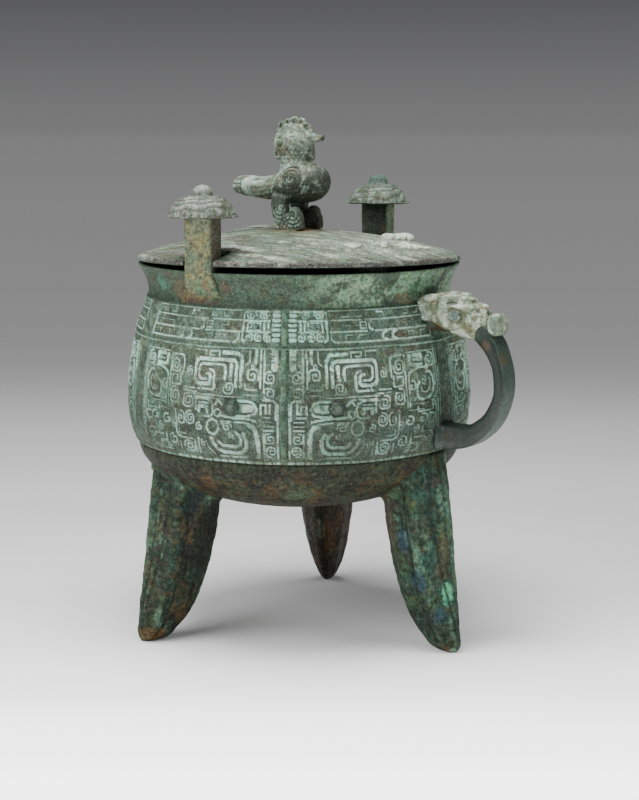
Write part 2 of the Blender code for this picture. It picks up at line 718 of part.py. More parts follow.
def main():
    clear_scene()
    shown = new_collection("tripod_wine_vessel")
    outside = new_collection("cast_on_outside")
    cavity = new_collection("cavity_cutter")
    posts = new_collection("cast_on_rim")
    notches = new_collection("notch_cutters")
    bird = new_collection("cast_on_lid")

    vessel = turned("vessel", outer_profile(), BOWL_STEPS, shown)
    make_legs(outside)
    make_handle(outside)
    make_head(outside)
    make_relief(outside)
    turned("cavity", cavity_profile(), CAVITY_STEPS, cavity)
    make_posts(posts)
    boolean(vessel, 'UNION', outside)
    boolean(vessel, 'DIFFERENCE', cavity)
    boolean(vessel, 'UNION', posts)

    lid = add_object("lid", make_lid_plate(shown), shown)
    make_notches(notches)
    make_bird(bird)
    boolean(lid, 'DIFFERENCE', notches)
    boolean(lid, 'UNION', bird)
    for obj in (vessel, lid):
        weld = obj.modifiers.new("Weld", 'WELD')
        weld.merge_threshold = WELD_DISTANCE

    green = material("green_patina", (0.085, 0.135, 0.105), 0.72, 0.25)
    pale = material("pale_patina", (0.22, 0.29, 0.24), 0.80, 0.15)
    vessel.data.materials.append(green)
    lid.data.materials.append(pale)

    for collection in (outside, cavity, posts, notches, bird):
        as_cutters(collection)
    for obj in bpy.data.objects:
        obj.location.x += AXIS_X
    for obj in (vessel, lid):
        obj.data.shade_smooth()
        obj.data.set_sharp_from_angle(angle=SHARP_ANGLE)


main()
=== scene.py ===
import math

import bpy
import numpy as np
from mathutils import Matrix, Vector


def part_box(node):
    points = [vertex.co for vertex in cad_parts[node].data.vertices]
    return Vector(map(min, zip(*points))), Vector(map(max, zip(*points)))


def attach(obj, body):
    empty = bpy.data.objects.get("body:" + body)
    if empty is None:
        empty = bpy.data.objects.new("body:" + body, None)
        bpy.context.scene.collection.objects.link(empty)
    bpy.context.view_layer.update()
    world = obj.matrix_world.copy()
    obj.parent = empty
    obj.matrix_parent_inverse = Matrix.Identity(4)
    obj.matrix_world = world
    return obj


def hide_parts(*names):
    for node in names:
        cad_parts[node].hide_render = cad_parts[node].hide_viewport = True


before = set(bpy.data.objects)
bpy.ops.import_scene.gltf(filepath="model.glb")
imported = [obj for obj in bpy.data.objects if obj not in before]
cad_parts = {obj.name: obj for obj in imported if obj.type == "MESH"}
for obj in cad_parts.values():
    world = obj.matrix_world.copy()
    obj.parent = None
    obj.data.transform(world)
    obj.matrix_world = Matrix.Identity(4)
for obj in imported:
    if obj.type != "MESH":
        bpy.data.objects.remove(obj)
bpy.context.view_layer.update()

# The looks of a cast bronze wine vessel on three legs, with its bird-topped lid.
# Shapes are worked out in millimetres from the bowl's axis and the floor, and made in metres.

MM = 0.001

# Bowl: the solids' sizes, with the underside a few millimetres higher
BASE_LOW = 89.0
BAND_LOW = 135.0
SHOULDER = 210.5
COLLAR = 234.0
RIM = 255.6
BASE_RADIUS = 112.5
BELLY_RADIUS = 118.0
SHOULDER_RADIUS = 111.8
NECK_RADIUS = 103.9
RIM_RADIUS = 109.8
WALL = 3.0
BAND_STEP = 1.0
WIDEST = BAND_LOW + 0.40 * (SHOULDER - BAND_LOW)
NECK_LOW = COLLAR + 0.16 * (RIM - COLLAR)

# Legs
FEET_OFFSET = (5.4, 3.7)
FEET_TURN = math.radians(-2.7)
FOOT_REACH = 127.7
LEG_LEAN = 0.12
LEG_DEPTH = 49.5
LEG_WIDTH = 44.5
LEG_TAPER = 100.0
FOOT_ROUNDING = 4.5
LEG_TOP = 134
LEG_AROUND = 144
# Creases down a leg's faces: share of the half width, depth
LEG_CREASES = ((-0.52, 0.75), (-0.16, 0.45), (0.30, 0.7), (0.66, 0.8))

# Handle and head
HANDLE_REACH = 164.0
HANDLE_LOW = 146.5
HANDLE_HIGH = 222.0
HANDLE_WIDTH = 19.0
HANDLE_THICK = 8.0
HANDLE_ROOT = 15.0
HEAD_TIP = 159.5
HEAD_MIDDLE = 229.0
HEAD_EYE = (130.0, 227.2)

# Posts and caps
POST_X = -2.0
POST_WIDTH = 22.5
POST_DEPTH = 11.5
POST_RADIUS = RIM_RADIUS - POST_DEPTH / 2
POST_ROOT = 20.0
CAP_EDGE = RIM + 34.5
CAP_RADIUS = 23.1
CAP_HEIGHT = 14.0
CAP_KNOB = 7.0
CAP_NICKS = 36
KNOB_HEIGHT = 6.5
# The last rows of a cap's or the lid's upper side are its edge
EDGE_ROWS = 5

# Lid and bird
LID_RADIUS = 110.2
LID_SEAT = RIM + 0.3
LID_THICK = 3.2
LID_RISE = 17.8
LID_TOP = LID_SEAT + LID_THICK + LID_RISE
LID_LIFT = 4.0
LID_LIFT_ANGLE = math.radians(-56)
NOTCH_WIDTH = POST_WIDTH + 2.0
NOTCH_END = POST_RADIUS - POST_DEPTH / 2 - 10.0

# Bird, from the lid's middle and top: along the body, up
BIRD_HEAD = (-3.5, 58.0)
BIRD_EYE = (-8.2, 59.0)
WING = (2.5, 35.0)
COMB_RADIUS = 14.4
COMB_RINGS = 8

# Relief
MASKS = 3
FIRST_MASK = math.radians(-60)
PANEL = math.pi * BELLY_RADIUS / MASKS  # from a mask's flange to its panel's edge
GROUND_DEPTH = 0.45
FLANGE_RISE = 2.9
MASK_EYE = (34.2, BAND_LOW + 37.2)
UPPER_EYE = (20.6, SHOULDER + 11.9)
LINE_RISE = 0.85

# Pieces fused from overlapping blocks: grain in millimetres, rounds of softening
FUSING = {"animal_head": (0.56, 4), "lid_crust": (0.7, 1), "bird": (0.6, 3)}

# Materials: grain in millimetres, contrast, least and greatest roughness, depth of the bumps in
# millimetres, shares of mint, dark and brown, and shine. The lid's brushed lines add their turn and
# how far they are drawn out.
PATINAS = {
    "band_patina": (1.3, 0.70, 0.45, 0.80, 0.20, 0.40, 0.70, 0.20, 0.22),
    "green_patina": (2.3, 0.85, 0.40, 0.80, 0.40, 0.25, 0.85, 0.22, 0.35),
    "rough_patina": (2.8, 0.95, 0.40, 0.80, 0.60, 0.12, 0.95, 0.25, 0.18),
    "smooth_patina": (2.2, 0.45, 0.36, 0.60, 0.14, 0.08, 0.45, 0.20, 0.35),
    "pale_patina": (1.4, 0.65, 0.55, 0.90, 0.30, 0.50, 0.75, 0.30, 0.35),
    "lid_patina": (1.8, 0.75, 0.50, 0.88, 0.38, 0.65, 0.95, 0.45, 0.35, (0.9, 0.12)),
}

# How deep each piece's painted colours are, in red, green and blue
DEPTHS = {
    "bands": (0.48, 0.57, 0.55),
    "neck": (0.245, 0.345, 0.265),
    "base": (0.105, 0.12, 0.082),
    "leg_under_handle": (0.25, 0.37, 0.335),
    "leg_back": (0.24, 0.22, 0.165),
    "leg_front": (0.235, 0.30, 0.26),
    "handle": (0.155, 0.21, 0.195),
    "head": (0.59, 0.64, 0.59),
    "posts": (0.51, 0.52, 0.44),
    "post_cap_front": (0.47, 0.46, 0.49),
    "post_cap_back": (0.36, 0.40, 0.39),
    "lid": (0.56, 0.58, 0.60),
    "crust": (0.92, 0.95, 0.92),
    "bird": (0.62, 0.64, 0.65),
}

# The bowl's axis in the row's frame
lid_low, lid_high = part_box("lid")
AXIS_X = (lid_low.x + lid_high.x) / 2 / MM


# Number helpers

def smooth(x):
    x = np.clip(x, 0.0, 1.0)
    return x * x * (3 - 2 * x)


def mix(low, high, share):
    return low + (high - low) * share


def lattice(i, seed):
    """A repeatable value from 0 to 1 at whole-numbered places."""
    n = (i[..., 0] * 374761393 + i[..., 1] * 668265263 + i[..., 2] * 1440662683 + seed * 974634777)
    n = n & 0xFFFFFFFF
    n = ((n ^ (n >> 13)) * 1274126177) & 0xFFFFFFFF
    n = ((n ^ (n >> 15)) * 2246822519) & 0xFFFFFFFF
    return ((n ^ (n >> 16)) & 0xFFFF) / 65535.0


def plain_noise(points, size, seed):
    place = points / size
    cell = np.floor(place).astype(np.int64)
    part = place - cell
    part = part * part * (3 - 2 * part)
    total = 0.0
    for dx in (0, 1):
        for dy in (0, 1):
            for dz in (0, 1):
                weight = ((part[..., 0] if dx else 1 - part[..., 0])
                          * (part[..., 1] if dy else 1 - part[..., 1])
                          * (part[..., 2] if dz else 1 - part[..., 2]))
                total = total + weight * lattice(cell + np.array((dx, dy, dz)), seed)
    return total * 2 - 1


# Each octave is turned, so that the lattice never shows
TURN = np.array(((0.36, 0.48, -0.80), (-0.80, 0.60, 0.0), (0.48, 0.64, 0.60)))


def noise(points, size, seed=0, octaves=4, keep=0.55):
    """Lumps about as wide as size, from about -1 to 1."""
    total = 0.0
    weight = 1.0
    reach = 0.0
    place = np.asarray(points, float)
    for k in range(octaves):
        total = total + weight * plain_noise(place, size, seed + 17 * k)
        reach += weight
        weight *= keep
        size /= 2.03
        place = place @ TURN
    return total / reach * 1.6


def specks(place, size, seed, over, soft=0.3):
    """1 where the noise is over a level, 0 elsewhere, with a soft edge."""
    return smooth((noise(place, size, seed) - over) / soft)


def smooth_path(points, per_span):
    """A smooth curve through points of any number of values."""
    points = np.asarray(points, float)
    last = len(points) - 1
    path = []
    for i in range(last):
        a, b, c, d = points[max(i - 1, 0)], points[i], points[i + 1], points[min(i + 2, last)]
        for k in range(per_span):
            t = k / per_span
            path.append(0.5 * (2 * b + (c - a) * t + (2 * a - 5 * b + 4 * c - d) * t ** 2
                               + (3 * b - a - 3 * c + d) * t ** 3))
    path.append(points[last])
    return np.array(path)


def rounded(corners, radius, steps=4):
    """A closed outline through corners, each rounded off by about the radius."""
    corners = np.asarray(corners, float)
    outline = []
    for i, corner in enumerate(corners):
        before = corners[i - 1] - corner
        after = corners[(i + 1) % len(corners)] - corner
        start = corner + before * min(0.45, radius / np.linalg.norm(before))
        end = corner + after * min(0.45, radius / np.linalg.norm(after))
        for k in range(steps + 1):
            t = k / steps
            outline.append((1 - t) ** 2 * start + 2 * t * (1 - t) * corner + t ** 2 * end)
    return np.array(outline)


def evenly(outline, count):
    """A closed outline with the given number of evenly spaced points."""
    ring = np.vstack([outline, outline[:1]])
    run = np.concatenate([[0], np.cumsum(np.linalg.norm(np.diff(ring, axis=0), axis=1))])
    at = np.linspace(0, run[-1], count, endpoint=False)
    return np.stack([np.interp(at, run, ring[:, k]) for k in range(ring.shape[1])], 1)


# Mesh helpers

class Build:
    """Blocks of points and faces that become one piece."""

    def __init__(self):
        self.points = []
        self.faces = []
        self.flat = []
        self.count = 0

    def add(self, points, faces, flat):
        points = np.asarray(points, float).reshape(-1, 3)
        if volume(points, faces) < 0:
            faces = [tuple(reversed(face)) for face in faces]
        self.points.append(points)
        self.faces += [tuple(i + self.count for i in face) for face in faces]
        self.flat += flat
        self.count += len(points)

    def skin(self, rings, ends="flat"):
        """A closed skin over rings of equal length. Ends are flat, a point, or joined to each other."""
        rings = np.asarray(rings, float)
        rows, cols = rings.shape[:2]
        points = rings.reshape(-1, 3)
        spans = rows if ends == "joined" else rows - 1
        faces = []
        for r in range(spans):
            low = r * cols
            high = ((r + 1) % rows) * cols
            faces += [(low + c, low + (c + 1) % cols, high + (c + 1) % cols, high + c)
                      for c in range(cols)]
        flat = [False] * len(faces)
        if ends == "flat":
            faces.append(tuple(reversed(range(cols))))
            faces.append(tuple((rows - 1) * cols + c for c in range(cols)))
            flat += [True, True]
        if ends == "point":
            count = len(points)
            points = np.vstack([points, rings[0].mean(0), rings[-1].mean(0)])
            last = (rows - 1) * cols
            faces += [(count, (c + 1) % cols, c) for c in range(cols)]
            faces += [(count + 1, last + c, last + (c + 1) % cols) for c in range(cols)]
            flat += [False] * (2 * cols)
        self.add(points, faces, flat)

    def mesh(self, name):
        made = bpy.data.meshes.new(name)
        points = (np.vstack(self.points) + np.array((AXIS_X, 0, 0))) * MM
        made.from_pydata(points.tolist(), [], self.faces)
        made.shade_smooth()
        flags = made.attributes.get("sharp_face") or made.attributes.new("sharp_face", 'BOOLEAN', 'FACE')
        flags.data.foreach_set("value", np.array(self.flat, bool))
        made.update()
        return made


def skinned(name, rings, ends="flat"):
    """A mesh with one skin."""
    build = Build()
    build.skin(rings, ends)
    return build.mesh(name)


def volume(points, faces):
    total = 0.0
    quads = np.array([f for f in faces if len(f) == 4])
    if len(quads):
        a, b, c, d = (points[quads[:, k]] for k in range(4))
        total += np.einsum("ij,ij->", a, np.cross(b, c)) + np.einsum("ij,ij->", a, np.cross(c, d))
    for face in faces:
        if len(face) != 4:
            corner = points[face[0]]
            ring = points[list(face)]
            total += np.einsum("j,ij->", corner, np.cross(ring[1:-1], ring[2:]))
    return total


def turned(profile, steps, centre=(0.0, 0.0)):
    """Rings of a (radius, height) profile turned about an upright axis."""
    profile = np.asarray(profile, float)
    angle = np.linspace(0, 2 * math.pi, steps, endpoint=False)
    radius, height = profile[:, 0:1], profile[:, 1:2]
    return np.stack([centre[0] + radius * np.cos(angle), centre[1] + radius * np.sin(angle),
                     height + 0 * angle], -1)


def ball(centre, radii, around=24, levels=14):
    """Rings of a ball, for a skin with pointed ends."""
    tilt = np.linspace(0, math.pi, levels + 2)[1:-1, None]
    turn = np.linspace(0, 2 * math.pi, around, endpoint=False)
    unit = np.stack([np.sin(tilt) * np.cos(turn), np.sin(tilt) * np.sin(turn), np.cos(tilt) + 0 * turn], -1)
    return np.asarray(centre, float) + unit * np.asarray(radii, float)


def tube(path, radii, around=14, flatten=1.0):
    """Rings round a path, each turned across it."""
    path = np.asarray(path, float)
    rings = []
    for i, place in enumerate(path):
        along = path[min(i + 1, len(path) - 1)] - path[max(i - 1, 0)]
        along /= np.linalg.norm(along)
        side = np.cross((0.0, 1.0, 0.0), along)
        side /= np.linalg.norm(side)
        across = np.cross(along, side)
        turn = np.linspace(0, 2 * math.pi, around, endpoint=False)[:, None]
        rings.append(place + (side * np.cos(turn) + across * np.sin(turn) * flatten) * radii[i])
    return np.array(rings)


def outwards(rings, level=False):
    """Steps of length 1 away from each ring's middle."""
    step = rings - rings.mean(1, keepdims=True)
    if level:
        step[..., 2] = 0
    return step / np.maximum(np.linalg.norm(step, axis=-1, keepdims=True), 1e-6)


def points_of(mesh):
    co = np.empty(len(mesh.vertices) * 3)
    mesh.vertices.foreach_get("co", co)
    return co.reshape(-1, 3) / MM - np.array((AXIS_X, 0, 0))


def normals_of(mesh):
    normal = np.empty(len(mesh.vertices) * 3)
    mesh.vertices.foreach_get("normal", normal)
    return normal.reshape(-1, 3)


def surface(mesh):
    return points_of(mesh), normals_of(mesh)


def move_points(mesh, points):
    mesh.vertices.foreach_set("co", ((points + np.array((AXIS_X, 0, 0))) * MM).ravel())
    mesh.update()


def placed(name, data):
    """An object in the scene."""
    obj = bpy.data.objects.new(name, data)
    bpy.context.scene.collection.objects.link(obj)
    return obj


def evaluated(obj):
    """The object's mesh with its modifiers applied. The object is removed."""
    bpy.context.view_layer.update()
    mesh = bpy.data.meshes.new_from_object(obj.evaluated_get(bpy.context.evaluated_depsgraph_get()))
    bpy.data.objects.remove(obj, do_unlink=True)
    return mesh


def fused(name, build):
    """Overlapping blocks joined into one skin of even grain, then softened as a worn casting is."""
    grain, rounds = FUSING[name]
    obj = placed(name, build.mesh(name))
    remesh = obj.modifiers.new("Fuse", 'REMESH')
    remesh.mode = 'VOXEL'
    remesh.voxel_size = grain * MM
    remesh.use_smooth_shade = True
    relax = obj.modifiers.new("Soften", 'SMOOTH')
    relax.factor = 0.5
    relax.iterations = rounds
    return evaluated(obj)


def spiral_path(cx, cz, wide, high, turns, start=0.0, sense=1, inner=0.16, steps=16):
    """A squarish spiral from its centre outwards."""
    count = max(8, int(turns * steps))
    path = []
    for k in range(count + 1):
        share = k / count
        angle = math.radians(start) + sense * turns * 2 * math.pi * (share - 1)
        size = mix(inner, 1.0, share)
        c, s = math.cos(angle), math.sin(angle)
        path.append((cx + wide / 2 * size * math.copysign(abs(c) ** 0.62, c),
                     cz + high / 2 * size * math.copysign(abs(s) ** 0.62, s)))
    return path


class Sheet:
    """Heights on an even grid of (along, up) places, drawn with strokes."""

    def __init__(self, along, up, step):
        self.low = (along[0], up[0])
        self.step = step
        count = (int((along[1] - along[0]) / step) + 1, int((up[1] - up[0]) / step) + 1)
        self.height = np.zeros(count)
        self.count = count

    def window(self, points, margin):
        lows = [int((points[:, k].min() - margin - self.low[k]) / self.step) for k in (0, 1)]
        highs = [int((points[:, k].max() + margin - self.low[k]) / self.step) + 2 for k in (0, 1)]
        spans = [slice(max(lows[k], 0), max(min(highs[k], self.count[k]), 0)) for k in (0, 1)]
        grid = np.meshgrid(*[self.low[k] + self.step * np.arange(spans[k].start, spans[k].stop)
                             for k in (0, 1)], indexing="ij")
        return tuple(spans), grid

    def stroke(self, path, width=1.3, height=1.0, soft=0.55, cut=False):
        path = np.asarray(path, float)
        for start, end in zip(path, path[1:]):
            spans, (a, b) = self.window(np.array((start, end)), width / 2 + soft)
            if a.size == 0:
                continue
            run = end - start
            length = max(run @ run, 1e-9)
            t = np.clip(((a - start[0]) * run[0] + (b - start[1]) * run[1]) / length, 0, 1)
            away = np.hypot(a - start[0] - t * run[0], b - start[1] - t * run[1])
            self.lay(spans, smooth((width / 2 + soft / 2 - away) / soft), height, cut)

    def oval(self, cx, cz, wide, high, height=1.0, soft=0.8, cut=False):
        middle = np.array(((cx - wide / 2, cz - high / 2), (cx + wide / 2, cz + high / 2)))
        spans, (a, b) = self.window(middle, soft)
        if a.size:
            away = (np.hypot((a - cx) / wide * 2, (b - cz) / high * 2) - 1) * min(wide, high) / 2
            self.lay(spans, smooth(0.5 - away / soft), height, cut)

    def lay(self, spans, share, height, cut):
        held = self.height[spans]
        if cut:
            self.height[spans] = held * (1 - share) + height * share
        else:
            self.height[spans] = np.maximum(held, height * share)

    def read(self, along, up):
        """Heights at any places, between the grid's own."""
        a = np.clip((along - self.low[0]) / self.step, 0, self.count[0] - 1.001)
        b = np.clip((up - self.low[1]) / self.step, 0, self.count[1] - 1.001)
        i, j = a.astype(int), b.astype(int)
        a, b = a - i, b - j
        h = self.height
        return ((h[i, j] * (1 - a) + h[i + 1, j] * a) * (1 - b)
                + (h[i, j + 1] * (1 - a) + h[i + 1, j + 1] * a) * b)


# Colours, as they would be on a screen, made linear

def colour(red, green, blue):
    share = np.array((red, green, blue)) / 255.0
    return np.where(share <= 0.04045, share / 12.92, ((share + 0.055) / 1.055) ** 2.4)


DARK = colour(44, 50, 42)
GROOVE = colour(62, 70, 58)
SEA = colour(74, 98, 82)
TEAL = colour(62, 98, 92)
MOSS = colour(92, 106, 74)
OLIVE = colour(112, 110, 78)
BROWN = colour(98, 82, 62)
UMBER = colour(70, 56, 44)
RUST = colour(158, 94, 56)
ORANGE = colour(186, 122, 72)
RED = colour(112, 58, 48)
GREY = colour(132, 140, 126)
MINT = colour(152, 178, 160)
PALE = colour(192, 208, 202)
WHITE = colour(214, 220, 212)
BRIGHT = colour(64, 142, 98)
VIOLET = colour(96, 76, 92)

# Colours of the finest grain: brown bloom, pale specks and dark pits
BLOOM = colour(92, 70, 48)
SPECKS = colour(160, 186, 168)
PITS = colour(30, 34, 26)


class Paint:
    """Colours at a piece's points, laid on in layers."""

    def __init__(self, points, base):
        self.points = points
        self.rgb = np.tile(base, (len(points), 1))

    def layer(self, tone, share):
        share = np.clip(share, 0, 1)[:, None]
        self.rgb = self.rgb * (1 - share) + tone * share

    def mottle(self, tone, size, seed, over=0.1, soft=0.35, most=1.0):
        """Lumps of one colour wherever the noise is over a level."""
        self.layer(tone, smooth((noise(self.points, size, seed) - over) / soft + 0.5) * most)

    def patch(self, tone, centre, radius, seed=3, most=1.0, ragged=0.5):
        """A ragged patch round a place. The radius may differ along X, Y and Z."""
        away = np.linalg.norm((self.points - np.array(centre)) / np.array(radius), axis=1)
        away = away + ragged * noise(self.points, np.mean(radius) * 0.9, seed)
        self.layer(tone, smooth((1.15 - away) / 0.35) * most)

    def shade(self, share):
        self.rgb = self.rgb * share[:, None]


# Bowl

def bowl_radius(z):
    """Outer radius at a height, from the belly band's lower edge up to the rim."""
    knots = ((BAND_LOW, BASE_RADIUS, 0.5), (WIDEST, BELLY_RADIUS, 0.0), (SHOULDER, SHOULDER_RADIUS, -0.20),
             (NECK_LOW, NECK_RADIUS, 0.0), (RIM, RIM_RADIUS, 0.25))
    z = np.asarray(z, float)
    radius = np.full(z.shape, float(BASE_RADIUS))
    for low, high in zip(knots, knots[1:]):
        span = high[0] - low[0]
        t = np.clip((z - low[0]) / span, 0, 1)
        curve = ((2 * t ** 3 - 3 * t ** 2 + 1) * low[1] + (t ** 3 - 2 * t ** 2 + t) * span * low[2]
                 + (3 * t ** 2 - 2 * t ** 3) * high[1] + (t ** 3 - t ** 2) * span * high[2])
        radius = np.where((z >= low[0]) & (z <= high[0]), curve, radius)
    return radius


def base_curve(radius, low, high, count):
    angle = np.linspace(0, math.pi / 2, count + 1)
    return np.stack([radius * np.sin(angle), high - (high - low) * np.cos(angle)], 1)


def draw_belly():
    """Half a mask and half of what lies beside it, in millimetres from the flange and up the band."""
    sheet = Sheet((0, PANEL + 1), (0, SHOULDER - BAND_LOW), 0.25)
    draw = sheet.stroke
    wide, line, fine = 2.2, 1.3, 1.0

    def band(path, width, height=1.15):
        """A raised band with a fine groove down its middle."""
        draw(path, width, height)
        draw(path, 0.35, height * 0.5, 0.45, cut=True)

    # Nose strip beside the flange
    draw([(3.7, 5), (3.7, 40)], 1.5)
    draw([(5.9, 62.5), (5.9, 72.6)], 4.6, 0.8)
    draw([(4.6, 69.4), (7.4, 69.4)], 0.6, 0.2, 0.4, cut=True)
    draw([(5.6, 66), (8.6, 66)], 0.7, 0.1, 0.4, cut=True)
    draw(spiral_path(8.6, 56.2, 8.0, 8.2, 1.7, 90), fine)
    draw(spiral_path(9.0, 46.8, 8.0, 8.0, 1.7, -90, -1), fine)
    draw([(12.6, 42.2), (6.4, 42.2), (5.0, 40.6), (5.0, 30)], line)
    draw([(8.6, 39.6), (8.6, 34), (11.2, 34), (11.2, 39.2), (14.6, 39.2), (14.6, 33.4)], line)
    draw([(8.4, 31.4), (14, 31.4)], fine)
    for up in (28.6, 25.8, 23.2):
        draw([(6.4, up), (12.6, up)], fine)
    draw(spiral_path(8.7, 17.6, 7.8, 7.4, 1.6, 90), fine)
    draw(spiral_path(7.8, 9.4, 7.4, 7.6, 1.6, -90, -1), fine)
    draw([(12.6, 47), (12.6, 73)], fine)
    draw([(15.0, 50), (15.0, 73)], line)

    # Forehead
    draw(spiral_path(20.4, 57.5, 8.6, 10, 1.5, 200), line, 0.8)
    draw([(18.2, 65.5), (18.2, 72.8)], wide, 0.8)
    draw([(22.6, 72.6), (22.6, 66), (25, 64)], line, 0.7)
    draw([(17.4, 48.5), (24.4, 48.5), (25.4, 52)], line, 0.7)
    draw([(17, 45.4), (26, 45.4)], fine, 0.7)

    # Great horn: nested bands that curl in at the lower end
    band([(27.9, 50.5), (27.9, 66.6), (28.6, 69), (30.6, 70.6), (41.6, 70.9)], wide)
    band([(31.4, 50.8), (31.4, 63.6), (32.2, 65.6), (34, 66.5), (59.4, 66.5), (61.4, 65.4),
          (62, 63), (62, 53.6), (61, 51.6), (59, 50.9), (51.2, 50.9), (49.9, 51.9), (49.7, 55.6),
          (50.6, 57.4), (52.8, 57.6)], wide)
    draw([(39.2, 54.6), (39.2, 61), (40, 62.7), (41.6, 63.3), (57, 63.3), (58.6, 62.4),
          (59, 60.6), (59, 56), (58, 54.2), (56.4, 53.7), (52.8, 53.7)], 1.5, 1.1)
    draw([(55.6, 47.4), (48.4, 47.4), (47, 48.8), (46.8, 57), (47.8, 59.2), (50.6, 59.9)], 1.6, 1.1)
    draw([(59.5, 47.2), (57.5, 47.2), (57.5, 49)], fine)
    draw([(35.4, 58.8), (35.4, 63.4)], 2.4, 1.0)
    draw([(35.4, 54.8), (35.4, 56.4)], 2.6, 1.0)
    draw([(44.6, 68.6), (44.6, 71.8), (51.6, 71.8), (51.6, 69), (48, 69)], fine)
    draw([(54.6, 69.2), (54.6, 72), (62.5, 72)], fine)
    draw(spiral_path(36.2, 49.4, 7.6, 8.6, 1.6, 0), fine)
    draw([(43, 56), (43, 60.4), (55.4, 60.4), (55.4, 57.6)], 1.0, 0.45)

    # Brow line, eye and its socket
    draw([(28, 43.9), (63, 43.9)], 1.0)
    draw([(44, 42.2), (62, 42.2)], 0.9)
    draw([(21.6, 37), (28.4, 37)], 5.6, 0.75)
    draw([(17.2, 36.2), (19.6, 40.6), (24, 41.8), (30.5, 41.4)], 1.6, 1.1)
    draw([(17.2, 36.2), (19, 33), (24, 31.6), (30.6, 32)], 1.6, 1.1)
    draw([(40.2, 38.4), (43.6, 41.6), (45.4, 38.6)], 1.4)
    sheet.oval(34.2, 37.2, 11.6, 11.6, 0.05, cut=True)
    draw([(17.5, 28.8), (24, 29.9), (31, 30.6), (38, 31), (42.6, 32)], 1.5, 1.1)
    draw([(22, 27.2), (31.6, 27.9)], 1.3)
    draw([(33.5, 27.8), (41, 28.2)], 1.0)

    # Ear and small meanders behind the eye
    draw([(62, 41.2), (51.4, 41.2), (48.2, 39.6), (47, 36.8), (47.2, 32.2), (49, 30.4), (55.5, 30.3)],
         line)
    draw([(50.6, 38.6), (58, 38.6)], fine)
    draw([(51.2, 32.8), (51.2, 36.2), (57.6, 36.2), (57.6, 33)], wide, 0.9)
    draw([(41.6, 34.6), (43.6, 35.6), (45.8, 34.4), (45.9, 31.4), (43.8, 30.5), (41.8, 31.6), (41.6, 34.6)],
         fine)
    draw(spiral_path(54.4, 38.4, 1.0, 1.0, 1.0), 0.8, 0.4)

    # Cheek and jaw
    draw([(43.4, 24), (44.4, 27.4), (47.6, 28.9), (50.8, 27.2), (51.8, 23.6), (50.4, 20.2),
          (47.4, 19), (44.6, 20.6), (43.4, 24)], 1.5)
    draw(spiral_path(37.2, 24.3, 6.6, 6.0, 1.4, 180), fine)
    band([(48.8, 16.6), (47.6, 13), (44, 9.2), (40.2, 7.7), (29, 7.7), (25.6, 9.4), (24, 13),
          (24.2, 17), (26, 20.6)], 2.3)
    band([(43.6, 14.4), (40.6, 11.9), (31.4, 11.9), (28.3, 13.4), (27.6, 16.4), (28.6, 19.6),
          (31, 21)], 2.0)
    draw([(22, 25.8), (19.2, 25.2), (17.8, 22.6), (16.8, 17), (16.5, 12), (16.9, 5.4)], 2.9, 1.1)
    draw([(12.6, 21), (12.8, 5)], fine, 0.8)
    draw([(24.6, 4.9), (44, 4.6)], fine, 0.8)
    draw([(47.6, 6), (51.4, 9.6), (53, 14)], fine, 0.8)

    # Meanders outside the mask, in rows
    draw(spiral_path(54.6, 20.4, 0.9, 0.9, 1.0), 0.9, 0.4)
    for cx, cz, w, h, turns, start, sense in (
            (66.2, 39.0, 9.6, 9.4, 1.9, 90, 1), (78.0, 41.4, 9.2, 11.4, 1.9, 90, 1),
            (79.4, 61.2, 9.0, 10.4, 1.8, 180, -1), (64.6, 28.0, 8.0, 9.0, 1.9, 90, 1),
            (72.8, 27.4, 7.4, 9.6, 1.4, 90, -1), (67.0, 9.8, 9.4, 9.0, 1.9, 180, -1),
            (107.0, 63.0, 9.6, 9.4, 1.9, 90, 1), (80.6, 12.4, 8.4, 7.0, 1.5, 90, 1),
            (57.4, 23.0, 5.4, 5.0, 1.3, 90, 1)):
        draw(spiral_path(cx, cz, w, h, turns, start, sense), line if w > 9 else fine)
    draw([(72.6, 54.6), (72.6, 65.6), (74, 67.6), (82, 67.9)], line)
    draw([(74.2, 55.4), (74.2, 48.6), (81.8, 48.6), (81.8, 54.6), (77.4, 54.6), (77.4, 51.4)], fine)
    draw([(84.2, 34.6), (84.2, 67.9)], line)
    draw([(60.2, 33.6), (60.2, 45.0), (71, 45.6)], fine)
    draw([(62, 47.4), (71.5, 47.4)], 1.0)
    draw([(64.5, 51), (69.6, 51), (69.6, 64), (65, 64)], 1.1, 0.5)
    draw([(65, 55), (67, 55), (67, 60)], 1.0, 0.5)
    draw([(77.2, 32.6), (77.2, 18), (75.8, 15.6), (72.8, 14.6), (63.6, 14.6)], line)
    draw([(69, 17.4), (74.6, 17.4), (74.6, 21)], fine, 0.7)
    draw([(58.6, 6), (58.6, 15.4)], line)
    draw([(61.6, 6), (61.6, 14)], line)
    draw([(74.4, 6), (74.4, 12)], fine, 0.8)

